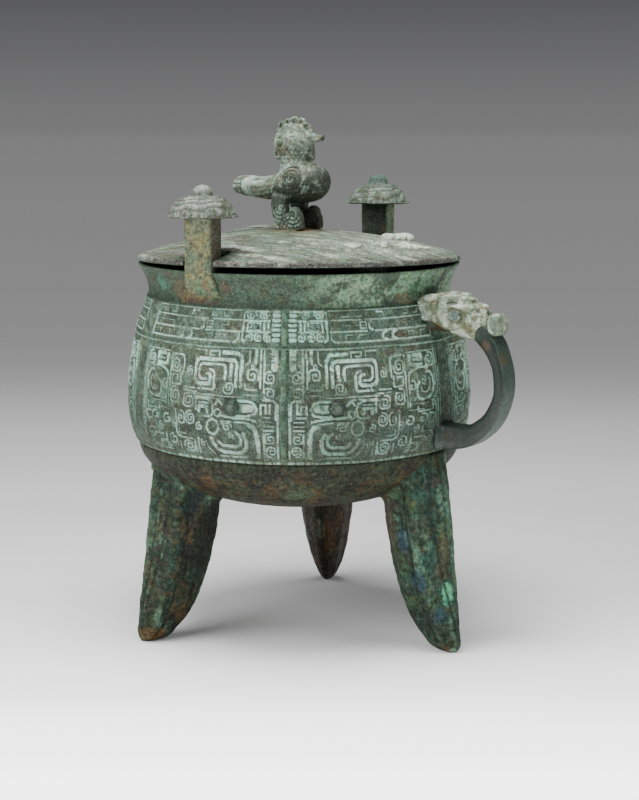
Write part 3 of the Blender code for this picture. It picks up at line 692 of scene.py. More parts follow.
    # Long-bodied creature at the panel's edge
    draw([(86.4, 35), (86.4, 53.6), (87.6, 56.2), (91, 57.8), (96, 59), (104.6, 58.6)], line, 1.1)
    draw([(88.4, 67), (88.4, 61.6), (91, 60.6), (99.4, 61)], wide)
    draw([(92, 67.2), (99.6, 67.2), (99.6, 63.8)], wide)
    draw([(92, 64), (96.4, 64)], fine)
    draw([(86, 69.2), (112, 69.2)], 1.0)
    draw(spiral_path(88.9, 47.4, 6.6, 7.0, 1.0, 90), line)
    draw([(95.6, 49.4), (93.2, 47.6), (92.7, 44), (92.9, 41.4), (94.6, 39.2), (97.4, 38.6),
          (104.4, 39.4), (108, 42.6), (109.4, 47.6), (108.6, 52.6), (106, 55.6), (103, 55.6)], 1.7, 1.1)
    draw([(97, 46.6), (97.4, 43.4), (102, 42.8), (105, 45.4), (105.8, 49.6), (104.4, 52)], fine, 0.8)
    draw([(103.4, 56.6), (103.4, 59.6)], fine)
    draw(spiral_path(85.2, 25.4, 9.0, 6.6, 1.0, 90, steps=24), line)
    draw(spiral_path(97.6, 26.4, 11.0, 5.6, 1.0, 90, steps=24), line)
    draw([(93.6, 34), (93.6, 31), (107.6, 31), (107.6, 34.4)], fine)
    draw([(104.4, 28.8), (110.6, 28), (107.4, 22.4), (103.4, 23.6)], line, 0.9)
    draw([(88, 15.6), (88, 10.6), (94.8, 10.4), (95, 6.2)], line, 0.8)
    draw([(91.4, 14.4), (100, 14.4), (103, 11)], line, 0.8)
    draw([(84, 5.4), (96, 5.4)], fine, 0.8)
    draw([(98.4, 21.6), (98.4, 17.4), (106, 17.4), (109.4, 13)], fine, 0.8)
    draw([(103, 9), (109, 6.6)], fine, 0.8)

    for cx, cz, w, h, turns, start in (
            (92.4, 19.6, 6, 5.4, 1.5, 90), (105.6, 11.4, 6, 5, 1.4, 180), (89.4, 40, 4.6, 4.6, 1.2, 0),
            (99.6, 50, 5, 6, 1.4, 90), (108.4, 36, 5.2, 6.4, 1.5, 90), (66.6, 57.6, 4.6, 7, 1.4, 90),
            (79, 22.6, 4.2, 5.6, 1.3, 90), (86.4, 7.6, 4.6, 4, 1.2, 90), (101.4, 34.6, 5.4, 4, 1.3, 180),
            (58.4, 9, 1, 5, 1, 90), (55.4, 12.6, 3.4, 5, 1.3, 90), (20, 63.4, 3, 3, 1.2, 90),
            (97, 64.6, 4, 3, 1.2, 0), (40.6, 27, 2.6, 2.6, 1, 90), (34.4, 19, 4, 4, 1.3, 90)):
        draw(spiral_path(cx, cz, w, h, turns, start), 0.9, 0.8)
    for up in (36.0, 32.4):
        draw([(86, up), (99, up)], 0.8, 0.7)
    draw([(111.0, 20), (111.0, 68)], 0.9, 0.8)

    # Plain strip at the panel's edge, where the mould's sections met
    draw([(113.2, 4), (113.2, 70)], 1.2, 0.9)
    draw([(115.6, 4), (115.6, 70)], 1.0, 0.7)

    # Borders, and a row of dashes along the lower edge
    draw([(0, 74.2), (PANEL + 1, 74.2)], 1.2, 0.8)
    draw([(0, 4.0), (PANEL + 1, 4.0)], 0.6, 0.0, 0.5, cut=True)
    for k in range(int(PANEL / 6.1)):
        draw([(3.2 + 6.1 * k, 1.4), (6.6 + 6.1 * k, 1.4)], 1.9, 0.9)
    return sheet


def draw_upper():
    """Half of the narrow band, in millimetres from the flange and up from the shoulder."""
    sheet = Sheet((0, PANEL + 1), (0, COLLAR - SHOULDER), 0.25)
    draw = sheet.stroke
    line, fine = 1.3, 1.05
    for up in (4.2, 7.2, 10.2, 13.2, 16.2, 19.2):
        draw([(3.6, up), (7.6, up)], 2.0)
    draw([(10.0, 15.8), (30, 15.8)], fine)
    draw([(3.4, 21.4), (27, 21.8), (29, 20.4), (29.6, 17)], fine)
    draw(spiral_path(14.4, 18.9, 7.6, 5.4, 1.7, 180), fine)
    draw(spiral_path(24.2, 18.9, 7.6, 5.2, 1.7, 180), fine)
    draw([(11.2, 10.2), (11.2, 14.2)], 1.5)
    draw([(14.0, 10.2), (14.0, 14.2)], 1.5)
    draw([(16.6, 10), (16.6, 14.4), (26.2, 14.4), (26.2, 9.8), (16.6, 9.8)], fine)
    draw([(18.6, 12.6), (22.6, 13.2), (24.4, 11.4)], 1.0)
    sheet.oval(20.6, 11.9, 3.6, 2.6, 1.2)
    draw([(29.2, 15.6), (29.2, 4.6), (27.4, 3)], 1.6, 1.1)
    draw([(10, 9), (26.8, 9)], fine)
    for cx in (11.6, 18.0, 24.6):
        draw(spiral_path(cx, 5.5, 5.8, 5.2, 1.5, 90, 1 if cx < 20 else -1), fine)
    draw([(33.6, 3), (31.6, 4.6), (31.6, 8)], line, 0.9)

    # Beyond the frame: long bodies of thin lines with hooks
    for low, high, up in ((31, 58, 8.9), (64, 112, 8.9), (31, 54, 15.9), (58, 112, 15.9), (31, 112, 21.8),
                          (34, 112, 2.6)):
        draw([(low, up), (high, up)], 0.95, 0.9)
    for centre in (40, 50, 90, 101):
        draw([(centre, 18.0), (centre + 5, 18.0), (centre + 5, 20.0)], 0.9, 0.7)
        draw([(centre, 12.6), (centre + 6.5, 12.6)], 0.9, 0.6)
        draw([(centre + 2, 4.6), (centre + 2, 6.9), (centre + 7, 6.9)], 0.9, 0.7)
    draw([(62, 14.8), (60.4, 14.2), (60.4, 10.4), (62.2, 9.6)], 1.7)
    draw([(53.6, 14.4), (58, 14.4), (58, 10.6), (53.6, 10.6), (53.6, 14.4)], fine, 0.8)
    for centre in (70, 78):
        draw([(centre + 4, 8.4), (centre, 7.2), (centre - 1, 4.2), (centre + 3, 3)], 1.5)
    draw([(67, 20.4), (72, 20.4), (73, 17.4)], line, 0.9)
    draw([(113.2, 2), (113.2, 22)], 1.1, 0.8)
    return sheet


BELLY = draw_belly()
UPPER = draw_upper()


def relief(along, z, mask):
    """Height out of the ground, and how much a place is a raised line (1) or ground (0)."""
    flat = np.stack([along, z, np.full_like(along, 60.0 * mask)], -1)
    wobble = 0.35 * plain_noise(flat, 9.0, 5)
    side = np.abs(along) + wobble
    up = z - BAND_LOW + 0.3 * plain_noise(flat, 11.0, 6)
    height = np.where(z < SHOULDER, BELLY.read(side, up), UPPER.read(side, z - SHOULDER))
    worn = 1 - 0.55 * specks(flat, 12.0, 9, 0.25, 0.5)
    raised = np.clip(height, 0, 1)
    height = height * LINE_RISE * worn
    # Shoulder: a shallow groove between the bands
    height = height - 0.5 * np.exp(-((z - SHOULDER) / 0.9) ** 2)
    # Flange, rounded, with the mould's join between the two bands
    ends = smooth((z - BAND_LOW - 3.2) / 1.5) * smooth((COLLAR - 1.2 - z) / 1.5)
    gap = 1 - 0.75 * np.exp(-((z - SHOULDER) / 1.4) ** 2)
    width = 1.7 + 0.25 * plain_noise(flat, 14.0, 12)
    flange = smooth((width + 0.4 - np.abs(along)) / 0.8) * ends * gap
    height = mix(height, FLANGE_RISE + 0.25 * noise(flat, 6.0, 13), flange)
    # Eyes
    for (cx, cz), radius, rise in ((MASK_EYE, 4.1, 3.0), (UPPER_EYE, 1.7, 1.3)):
        away = np.hypot(np.abs(along) - cx, z - cz) / radius
        boss = np.sqrt(np.clip(1 - away ** 2, 0, 1))
        height = np.maximum(height, rise * boss + 0.1)
    return height, raised, flange


def make_panel(mask):
    cols, rows, inner_rows = 384, 172, 8
    along, z = np.meshgrid(np.linspace(-PANEL, PANEL, cols + 1), np.linspace(BAND_LOW, COLLAR, rows + 1),
                           indexing="ij")
    angle = FIRST_MASK + 2 * math.pi / MASKS * mask + along / BELLY_RADIUS
    height, raised, flange = relief(along, z, mask)
    ground = bowl_radius(z) - GROUND_DEPTH
    place = np.stack([ground * np.cos(angle), ground * np.sin(angle), z], -1)
    height = height + 0.16 * noise(place, 7.0, 21) + 0.07 * noise(place, 1.6, 22)
    edge = smooth(np.minimum(z - BAND_LOW, COLLAR - z) / 0.7)
    radius = ground + mix(-0.6, height, edge)
    outer = np.stack([radius * np.cos(angle), radius * np.sin(angle), z], -1)
    low = np.linspace(COLLAR, BAND_LOW, inner_rows + 1)
    inside = bowl_radius(low) - WALL - BAND_STEP
    turn = angle[:, :1]
    inner = np.stack([inside * np.cos(turn), inside * np.sin(turn), low + 0 * turn], -1)
    mesh = skinned("band_panel", np.concatenate([outer, inner], 1))
    blank = np.zeros(inner.shape[:2])
    keep = {"raised": np.concatenate([raised, blank], 1).ravel(),
            "flange": np.concatenate([flange, blank], 1).ravel(),
            "height": np.concatenate([height, blank], 1).ravel()}
    return mesh, keep


def paint_bands(mesh, keep):
    points = points_of(mesh)
    radius = np.hypot(points[:, 0], points[:, 1])
    z = points[:, 2]
    angle = np.arctan2(points[:, 1], points[:, 0])
    third = 2 * math.pi / MASKS
    along = (np.mod(angle - FIRST_MASK + third / 2, third) - third / 2) * BELLY_RADIUS
    side = np.abs(along)
    raised, flange, height = keep["raised"], keep["flange"], keep["height"]
    paint = Paint(points, colour(86, 92, 76))
    # The ground: green-black with brown, reddish and teal fields, frosted with fine pale corrosion
    paint.mottle(mix(SEA, GROOVE, 0.4), 17.0, 33, -0.05, 0.5, 0.8)
    paint.mottle(colour(92, 80, 64), 13.0, 31, 0.2, 0.4, 0.7)
    paint.mottle(colour(88, 60, 54), 9.0, 32, 0.5, 0.3, 0.6)
    paint.mottle(mix(TEAL, MINT, 0.3), 12.0, 36, 0.3, 0.4, 0.6)
    paint.mottle(colour(136, 150, 134), 3.2, 34, 0.12, 0.5, 0.55)
    paint.mottle(DARK, 2.6, 37, 0.35, 0.4, 0.6)
    field = np.exp(-((side - 50) / 9) ** 2 - ((z - BAND_LOW - 59) / 4.5) ** 2)
    paint.layer(colour(108, 92, 80), field * 0.7)
    paint.layer(GROOVE, smooth(along / 30.0) * smooth((80 - side) / 20) * 0.4)
    # Raised lines: pale where the corrosion is whitish, duller away from the masks; paler towards the top as
    # painted light, and duller low down as painted shade
    pale = 0.86 + 0.9 * noise(points, 20.0, 41) - 0.45 * smooth((side - 50) / 40)
    pale = pale + 0.2 * smooth((z - 165) / 30) - 0.3 * smooth((150 - z) / 12)
    # The mask half on the handle's side is browner and duller
    handle_half = smooth(along / 40.0 + 0.2)
    pale = pale - 0.52 * handle_half * smooth((70 - side) / 20) + 0.25 * handle_half * smooth((side - 75) / 20)
    tone = mix(colour(116, 128, 110), PALE, smooth(pale)[:, None])
    mint = specks(points, 24.0, 43, -0.15, 0.4)[:, None] * 0.6
    tone = mix(tone, colour(150, 190, 174), mint)
    pinkish = specks(points, 15.0, 42, 0.25, 0.4)[:, None] * 0.4
    tone = mix(tone, colour(166, 152, 140), pinkish * (side[:, None] > 20))
    broken = 1 - 0.85 * specks(points, 3.4, 44, 0.28)
    broken = broken * (1 - 0.6 * specks(points, 11.0, 48, 0.35))
    paint.layer(tone, smooth((raised - 0.42) / 0.45) * broken * 0.97)
    # The grooves keep dark earth close beside the lines
    groove = smooth(raised / 0.15) * smooth((0.50 - raised) / 0.25)
    paint.layer(mix(DARK, GROOVE, 0.4), groove * 0.8)
    paint.layer(mix(SEA, BRIGHT, 0.25), flange * (0.5 + 0.4 * noise(points, 9.0, 45)))
    paint.layer(DARK, flange * specks(points, 7.0, 46, 0.05) * 0.7)
    # Dark and green lines along the shoulder and under the collar
    near = np.exp(-((z - SHOULDER + 0.5) / 1.4) ** 2) + 0.8 * np.exp(-((z - COLLAR) / 1.6) ** 2)
    paint.layer(mix(SEA, DARK, 0.45), near * (0.75 + 0.4 * noise(points, 12.0, 47)))
    low = smooth((BAND_LOW + 5 - z) / 3)
    paint.layer(mix(UMBER, MOSS, 0.5), low * (1 - smooth((raised - 0.3) / 0.4)) * 0.7)
    # Eye bosses: dark metal with a worn crown in a dark ring
    for (cx, cz), reach in ((MASK_EYE, 4.4), (UPPER_EYE, 1.8)):
        away = np.hypot(side - cx, z - cz) / reach
        paint.layer(colour(54, 62, 58), smooth((1.05 - away) / 0.2) * 0.85)
        paint.layer(colour(112, 122, 112), smooth((0.55 - away) / 0.3) * 0.6)
        paint.layer(mix(DARK, SEA, 0.3), smooth((1.45 - away) / 0.2) * smooth((away - 0.95) / 0.2) * 0.8)
    # Inside: painted shade on the inner wall
    paint.layer(mix(DARK, SEA, 0.35), (radius < bowl_radius(z) - 3.0) * 1.0)
    # Painted shade in the recessed ground: the lower the relief, the darker the colour
    paint.shade(0.36 + 0.70 * smooth((height + 0.35) / 0.9))
    # Painted shade darkening the bands' lower part, more on the handle's half, and painted light brightening
    # their upper part
    paint.shade((1 - 0.3 * smooth((172 - z) / 25) * (0.3 + 0.7 * handle_half)) * (1 + 0.4 * smooth((z - 172) / 22)))
    return paint.rgb


# Neck, base and legs

def make_neck():
    steps = 480
    outer = np.linspace(COLLAR - 0.6, RIM - 1.2, 26)
    profile = [(bowl_radius(COLLAR) - BAND_STEP - 0.8, COLLAR - 1.2)]
    profile += [(float(bowl_radius(z)) - BAND_STEP * (1 - smooth((z - RIM + 6) / 6)), z) for z in outer]
    profile += [(RIM_RADIUS - 0.25, RIM - 0.45), (RIM_RADIUS - 0.9, RIM - 0.02),
                (RIM_RADIUS - 2.4, RIM), (RIM_RADIUS - 3.4, RIM - 0.4)]
    profile += [(float(bowl_radius(z)) - WALL - BAND_STEP, z)
                for z in np.linspace(RIM - 1.6, COLLAR - 1.2, 14)]
    rings = turned(profile, steps)
    rings = push(rings, 0.22, 9.0, 0.07, 2.0, 51)
    return skinned("neck_and_rim", rings, "joined")


def push(rings, coarse, coarse_size, fine, fine_size, seed):
    """Corroded unevenness, outwards from the bowl's axis."""
    out = rings.copy()
    length = np.maximum(np.hypot(rings[..., 0], rings[..., 1]), 1e-6)
    amount = coarse * noise(rings, coarse_size, seed) + fine * noise(rings, fine_size, seed + 1)
    for k in (0, 1):
        out[..., k] += rings[..., k] / length * amount
    return out


def paint_neck(mesh):
    points = points_of(mesh)
    paint = Paint(points, mix(SEA, MOSS, 0.2))
    paint.mottle(mix(SEA, DARK, 0.4), 12.0, 61, 0.0, 0.6, 0.7)
    paint.mottle(mix(TEAL, MINT, 0.2), 7.0, 62, 0.1, 0.4, 0.6)
    streak = points * np.array((1, 1, 2.6))
    paint.layer(MINT, smooth((noise(streak, 9.0, 63) - 0.3) / 0.35 + 0.1) * 0.2)
    paint.mottle(mix(OLIVE, BROWN, 0.4), 6.0, 64, 0.2, 0.3, 0.6)
    paint.mottle(DARK, 3.0, 75, 0.3, 0.3, 0.5)
    middle = smooth((points[:, 0] + 70) / 40) * smooth((55 - points[:, 0]) / 30)
    paint.layer(mix(SEA, DARK, 0.4), middle * 0.45)
    # Pale crusts on the side towards the handle
    handle_side = smooth((points[:, 0] - 35) / 40)
    paint.layer(mix(MINT, WHITE, 0.3), smooth((points[:, 0] - 50) / 40) * specks(points, 8.0, 65, -0.3) * 1.0)
    paint.layer(mix(UMBER, DARK, 0.4), handle_side * specks(points, 5.0, 76, 0.2) * 0.6)
    lip = smooth((points[:, 2] - RIM + 3.5) / 2.5)
    paint.layer(mix(GREY, SEA, 0.45), lip * (0.5 + 0.4 * noise(points, 6.0, 66)))
    foot = smooth((COLLAR + 3.5 - points[:, 2]) / 3.0)
    paint.layer(mix(SEA, DARK, 0.6), foot * (0.45 + 0.4 * noise(points, 7.0, 67)))
    # Rust, dull red and bright green round the root of the post that faces the viewer
    paint.patch(mix(RUST, OLIVE, 0.4), (-16, -101, 243), (13, 9, 8), 68, 0.7)
    paint.patch(mix(RED, SEA, 0.2), (15, -102, 247), (5, 6, 4), 69, 0.75)
    paint.patch(mix(RED, BROWN, 0.4), (-26, -99, 252), (12, 8, 3), 77, 0.6)
    paint.patch(mix(BRIGHT, SEA, 0.3), (4, -103, 245), (9, 6, 7), 70, 0.65)
    paint.patch(mix(ORANGE, OLIVE, 0.3), (-6, -103, 239), (10, 6, 3), 71, 0.65)
    paint.patch(mix(RED, UMBER, 0.4), (-2, -103, 236), (14, 6, 2.4), 78, 0.7)
    paint.patch(colour(98, 158, 148), (-42, -94, 246), (5, 6, 5), 72, 0.7)
    paint.patch(mix(RUST, BROWN, 0.4), (101, -22, 238), (9, 10, 5), 73, 0.7)
    paint.patch(mix(BRIGHT, SEA, 0.4), (101, -18, 243), (6, 5, 6), 74, 0.6)
    radius = np.hypot(points[:, 0], points[:, 1])
    # Inside: painted shade on the inner wall
    paint.layer(mix(DARK, SEA, 0.3), (radius < bowl_radius(points[:, 2]) - 3.4) * 0.9)
    return paint.rgb


def make_base():
    steps = 300
    outer = base_curve(BASE_RADIUS - BAND_STEP, BASE_LOW, BAND_LOW + 0.4, 44)[1:]
    inner_radius = float(bowl_radius(BAND_LOW)) - WALL - BAND_STEP
    inner = base_curve(inner_radius, BASE_LOW + WALL, BAND_LOW + 0.4, 20)[1:]
    rings = turned(np.vstack([outer, inner[::-1]]), steps)
    return skinned("round_base", push(rings, 0.25, 11.0, 0.08, 2.2, 81), "point")


def paint_base(mesh):
    points = points_of(mesh)
    paint = Paint(points, mix(MOSS, UMBER, 0.35))
    paint.mottle(mix(BROWN, ORANGE, 0.65), 15.0, 91, 0.1, 0.25, 0.8)
    paint.mottle(mix(SEA, MINT, 0.3), 12.0, 92, 0.15, 0.25, 0.75)
    paint.mottle(mix(UMBER, DARK, 0.6) * 0.5, 9.0, 93, 0.05, 0.25, 0.9)
    paint.mottle(mix(OLIVE, ORANGE, 0.6), 4.0, 94, 0.35, 0.2, 0.8)
    paint.mottle(DARK, 3.0, 99, 0.35, 0.25, 0.7)
    paint.mottle(mix(MINT, SEA, 0.2), 3.0, 95, 0.55, 0.2, 0.6)
    # Greenish where the underside meets the bands, with a dark line of painted shade below it
    top = smooth((points[:, 2] - BAND_LOW + 8) / 5)
    paint.layer(mix(MOSS, SEA, 0.6), top * 0.7)
    line = np.exp(-((points[:, 2] - BAND_LOW + 9 + 2 * noise(points, 20.0, 100)) / 1.6) ** 2)
    paint.layer(mix(UMBER, DARK, 0.5), line * 0.6)
    paint.patch(mix(MINT, SEA, 0.2), (52, -78, 112), (13, 9, 5), 96, 0.8)
    return paint.rgb


def leg_taper(z, power):
    return math.sin(math.pi / 2 * min(z / LEG_TAPER, 1.0) ** power)


def leg_outline(z, count):
    """One level of a leg, outward and sideways: ridge, side corners, inner face."""
    rounding = FOOT_ROUNDING * max(0.0, 1 - z / (2 * FOOT_ROUNDING)) ** 2
    outer = FOOT_REACH - LEG_LEAN * z - rounding
    depth = LEG_DEPTH * (0.20 + 0.80 * leg_taper(z, 0.45))
    half = LEG_WIDTH / 2 * (0.14 + 0.86 * leg_taper(z, 0.64))
    corners = ((outer + 0.6, 0.0), (outer - 0.10 * depth, 0.42 * half), (outer - 0.27 * depth, half),
               (outer - 0.72 * depth, 0.72 * half), (outer - depth, 0.22 * half),
               (outer - depth, -0.22 * half), (outer - 0.72 * depth, -0.72 * half),
               (outer - 0.27 * depth, -half), (outer - 0.10 * depth, -0.42 * half))
    return evenly(rounded(corners, 0.10 * half + 0.6), count)


def leg_share(z, out):
    """How far a place is from the leg's ridge (0) towards its inner face (1)."""
    taper = np.sin(math.pi / 2 * np.clip(z / LEG_TAPER, 0, 1) ** 0.45)
    return (FOOT_REACH - LEG_LEAN * z - out) / (LEG_DEPTH * (0.20 + 0.80 * taper))


def make_leg(k):
    angle = FEET_TURN + 2 * math.pi / 3 * k
    outward = np.array((math.cos(angle), math.sin(angle)))
    sideways = np.array((-outward[1], outward[0]))
    levels = np.concatenate([np.linspace(0, 6, 10)[:-1], np.linspace(6, LEG_TOP, 112)])
    rings, runs = [], []
    for z in levels:
        outline = leg_outline(z, LEG_AROUND)
        flat = np.array(FEET_OFFSET) + outline[:, :1] * outward + outline[:, 1:] * sideways
        # The top draws in to the bands' edge
        limit = BASE_RADIUS - 0.4 + 0.30 * (LEG_TOP - z)
        flat = flat * np.minimum(1.0, limit / np.hypot(flat[:, 0], flat[:, 1]))[:, None]
        rings.append(np.concatenate([flat, np.full((len(flat), 1), z)], 1))
        runs.append(outline)
    rings, runs = np.array(rings), np.array(runs)
    direction = outwards(rings, True)
    # Where the leg meets the bowl it spreads into a small fillet
    z = rings[..., 2]
    base = BASE_RADIUS - BAND_STEP
    radius = np.hypot(rings[..., 0], rings[..., 1])
    surface = BAND_LOW - (BAND_LOW - BASE_LOW) * np.sqrt(np.clip(1 - (radius / base) ** 2, 0, 1))
    below = np.where(radius < base, surface - z, 99.0)
    fillet = 5.0
    spread = fillet * (1 - np.sqrt(np.clip(1 - np.clip(1 - below / fillet, 0, 1) ** 2, 0, 1)))
    spread = np.where(below < 0, fillet, spread) * smooth((z - 60) / 15) * smooth((base - 4 - radius) / 8)
    # Creases along the faces, beside the ridge, and corrosion all over
    crease = np.zeros_like(z)
    for share, deep in LEG_CREASES:
        middle = share * LEG_WIDTH / 2 * (0.14 + 0.86 * smooth(z / LEG_TAPER) ** 0.8)
        middle = middle + 0.7 * noise(np.stack([z, 0 * z + 40 * k, 0 * z + 20 * share], -1), 22.0, 97)
        crease += deep * np.exp(-((runs[..., 1] - middle) / 0.8) ** 2) * smooth((z - 4) / 12)
    crease = crease * smooth((runs[..., 0] - (FOOT_REACH - LEG_LEAN * z - 0.6 * LEG_DEPTH)) / 4)
    share = leg_share(z, runs[..., 0]) + 0.02 * noise(rings, 16.0, 98)
    crease += 1.0 * np.exp(-((share - 0.44) / 0.018) ** 2) * smooth((np.abs(runs[..., 1]) - 3) / 3)
    crease += 0.8 * np.exp(-(runs[..., 1] / 0.8) ** 2) * smooth((share - 0.75) / 0.1)
    amount = 0.6 * noise(rings, 9.0, 101 + k) + 0.25 * noise(rings, 2.6, 111 + k) - crease
    rings = rings + direction * (spread + amount * smooth(z / 3.0))[..., None]
    return skinned("leg", rings), crease.ravel()


def paint_leg(mesh, k, crease):
    points, normals = surface(mesh)
    angle = FEET_TURN + 2 * math.pi / 3 * k
    flat = points[:, :2] - np.array(FEET_OFFSET)
    out = flat @ np.array((math.cos(angle), math.sin(angle)))
    side = flat @ np.array((-math.sin(angle), math.cos(angle)))
    z = points[:, 2]
    share = leg_share(z, out)
    tone = (mix(TEAL, SEA, 0.5), UMBER, mix(TEAL, SEA, 0.65))[k]
    paint = Paint(points, tone)
    streak = points * np.array((1, 1, 0.3))
    paint.layer(mix(TEAL, DARK * 0.5, 0.65), smooth(noise(streak, 7.0, 121 + k) * 1.4 + 0.4) * 0.9)
    paint.layer(mix(SEA, MINT, 0.85), specks(streak, 6.0, 131 + k, 0.1, 0.25) * (0.9, 0.5, 0.85)[k])
    paint.mottle(MOSS, 11.0, 141 + k, 0.15, 0.3, 0.7)
    paint.mottle(BROWN, 9.0, 151 + k, 0.25, 0.25, (0.5, 0.8, 0.8)[k])
    paint.mottle(DARK, 3.6, 156 + k, 0.25, 0.25, 0.75)
    paint.mottle(mix(ORANGE, BROWN, 0.4), 4.0, 161 + k, 0.55, 0.2, (0.4, 0.6, 0.5)[k])

    def spot(tone, across, up, wide, high, most):
        """A patch as the viewer sees it, by millimetres across the view and up."""
        seen = points[:, 0] * math.cos(CAMERA_AZIMUTH) + points[:, 1] * math.sin(CAMERA_AZIMUTH)
        near = normals[:, 0] * math.sin(CAMERA_AZIMUTH) - normals[:, 1] * math.cos(CAMERA_AZIMUTH)
        away = np.hypot((seen - across) / wide, (z - up) / high) + 0.35 * noise(points, 4.0, 190)
        paint.layer(tone, smooth((1.1 - away) / 0.3) * (near > 0) * most)

    if k == 1:
        paint.layer(mix(UMBER, DARK, 0.4), smooth(0.7 + noise(streak, 9.0, 191)) * 0.75)
        paint.layer(mix(BROWN, RUST, 0.3), specks(streak, 7.0, 196, 0.1) * 0.7)
        spot(mix(MINT, GREY, 0.4), 14.6, 48, 3.0, 8, 0.75)
    if k == 2:
        # The outer part is teal, the inner one brown, on either side of the long crease
        inner = smooth((share - 0.43) / 0.04)
        paint.layer(mix(UMBER * 0.6, DARK * 0.5, 0.4), inner * smooth(0.75 + noise(points, 9.0, 197)) * 0.85)
        paint.layer(mix(BROWN, ORANGE, 0.4), inner * specks(streak, 8.0, 198, 0.2) * 0.7)
        paint.layer(mix(TEAL, DARK, 0.4), inner * specks(streak, 9.0, 200, 0.2) * 0.7)
        low = np.exp(-((z - 46) / 17) ** 2)
        paint.layer(mix(BROWN, ORANGE, 0.35),
                    low * (1 - inner) * smooth(0.35 + noise(points, 6.0, 203)) * 0.75)
        blue = np.exp(-((share - 0.50) / 0.06) ** 2) * smooth((z - 70) / 20)
        paint.layer(colour(50, 60, 84), blue * 0.6)
        spot(mix(RED, VIOLET, 0.5), -89.5, 79, 2.4, 3.4, 0.8)
        spot(mix(ORANGE, OLIVE, 0.3), -101, 6, 10, 5, 0.8)
    if k == 0:
        # Brown along the inner edge and near the ridge, with blue, dull red and mint places
        paint.layer(mix(UMBER, RUST, 0.35), smooth((share - 0.62) / 0.1) * smooth((z - 60) / 20) * 0.7)
        spot(mix(BROWN, ORANGE, 0.35), 95, 66, 4, 18, 0.5)
        spot(mix(DARK, UMBER, 0.4), 84, 20, 10, 12, 0.5)
        for across, up, wide, high in ((70, 76, 4, 9), (80, 50, 5, 8), (93, 27, 5, 6)):
            spot(colour(70, 96, 128), across, up, wide, high, 0.6)
        spot(mix(VIOLET, RED, 0.4), 90, 116, 3, 4, 0.75)
        spot(mix(VIOLET, RED, 0.4), 63.7, 98, 3, 3.4, 0.75)
        spot(DARK, 91.8, 76, 1.3, 2.4, 0.95)
        spot(DARK, 98.8, 40, 5.2, 9.4, 0.9)
        spot(colour(130, 200, 166) * 1.15, 98.8, 41, 4.4, 8.4, 1.0)
        spot(WHITE, 103, 2, 3, 2, 0.8)
    paint.layer(mix(ORANGE, BROWN, 0.3), smooth((9 - z) / 6) * specks(points, 4.0, 195 + k, 0.1) * 0.6)
    ridge = np.exp(-(side / 2.0) ** 2) * smooth((out - (FOOT_REACH - LEG_LEAN * z - 4)) / 2)
    paint.layer(mix(MINT, SEA, 0.4), ridge * 0.35)
    paint.layer(DARK, np.clip(crease * 1.5, 0, 1) * 0.9)
    return paint.rgb


# Handle

def handle_line():
    reach = HANDLE_REACH - HANDLE_THICK / 2
    inner = BASE_RADIUS - WALL
    run = reach - inner
    rise = HANDLE_HIGH - HANDLE_LOW
    thin, root = HANDLE_THICK, HANDLE_ROOT
    return smooth_path([
        (inner, HANDLE_LOW, root), (inner + 0.27 * run, HANDLE_LOW - 0.004 * rise, root),
        (inner + 0.56 * run, HANDLE_LOW + 0.025 * rise, mix(thin, root, 0.75)),
        (inner + 0.84 * run, HANDLE_LOW + 0.17 * rise, mix(thin, root, 0.30)),
        (inner + 0.98 * run, HANDLE_LOW + 0.36 * rise, thin), (reach, HANDLE_LOW + 0.51 * rise, thin),
        (inner + 0.96 * run, HANDLE_LOW + 0.66 * rise, thin),
        (inner + 0.82 * run, HANDLE_LOW + 0.84 * rise, mix(thin, root, 0.35)),
        (inner + 0.55 * run, HANDLE_LOW + 0.97 * rise, mix(thin, root, 0.6)),
        (inner - WALL, HANDLE_HIGH, mix(thin, root, 0.6)),
    ], 12)


def make_handle():
    path = handle_line()
    half = HANDLE_WIDTH / 2
    rings = []
    for i, (x, z, thick) in enumerate(path):
        ahead, behind = path[min(i + 1, len(path) - 1)], path[max(i - 1, 0)]
        along = (ahead - behind)[:2] / np.linalg.norm((ahead - behind)[:2])
        across = np.array((along[1], -along[0]))
        share = i / (len(path) - 1)
        wide = half * (1 + 0.16 * smooth((0.30 - share) / 0.30))
        corners = [(side * wide, out * thick) for side, out in (
            (-0.86, 0.5), (0.86, 0.5), (1.0, 0.2), (1.0, -0.3), (0.75, -0.5), (-0.75, -0.5), (-1.0, -0.3),
            (-1.0, 0.2))]
        outline = evenly(rounded(corners, 0.9), 56)
        spread = 5.0 * smooth((3.5 - abs(x - float(bowl_radius(z)))) / 5.0 + 0.15) * (x < 125)
        outline = outline * (1 + spread / np.array((wide, thick)) * 0.5)
        rings.append([(x + across[0] * out, side, z + across[1] * out) for side, out in outline])
    rings = np.array(rings)
    unevenness = 0.16 * noise(rings, 8.0, 201) + 0.06 * noise(rings, 2.0, 202)
    rings = rings + outwards(rings) * unevenness[..., None]
    return skinned("handle", rings)


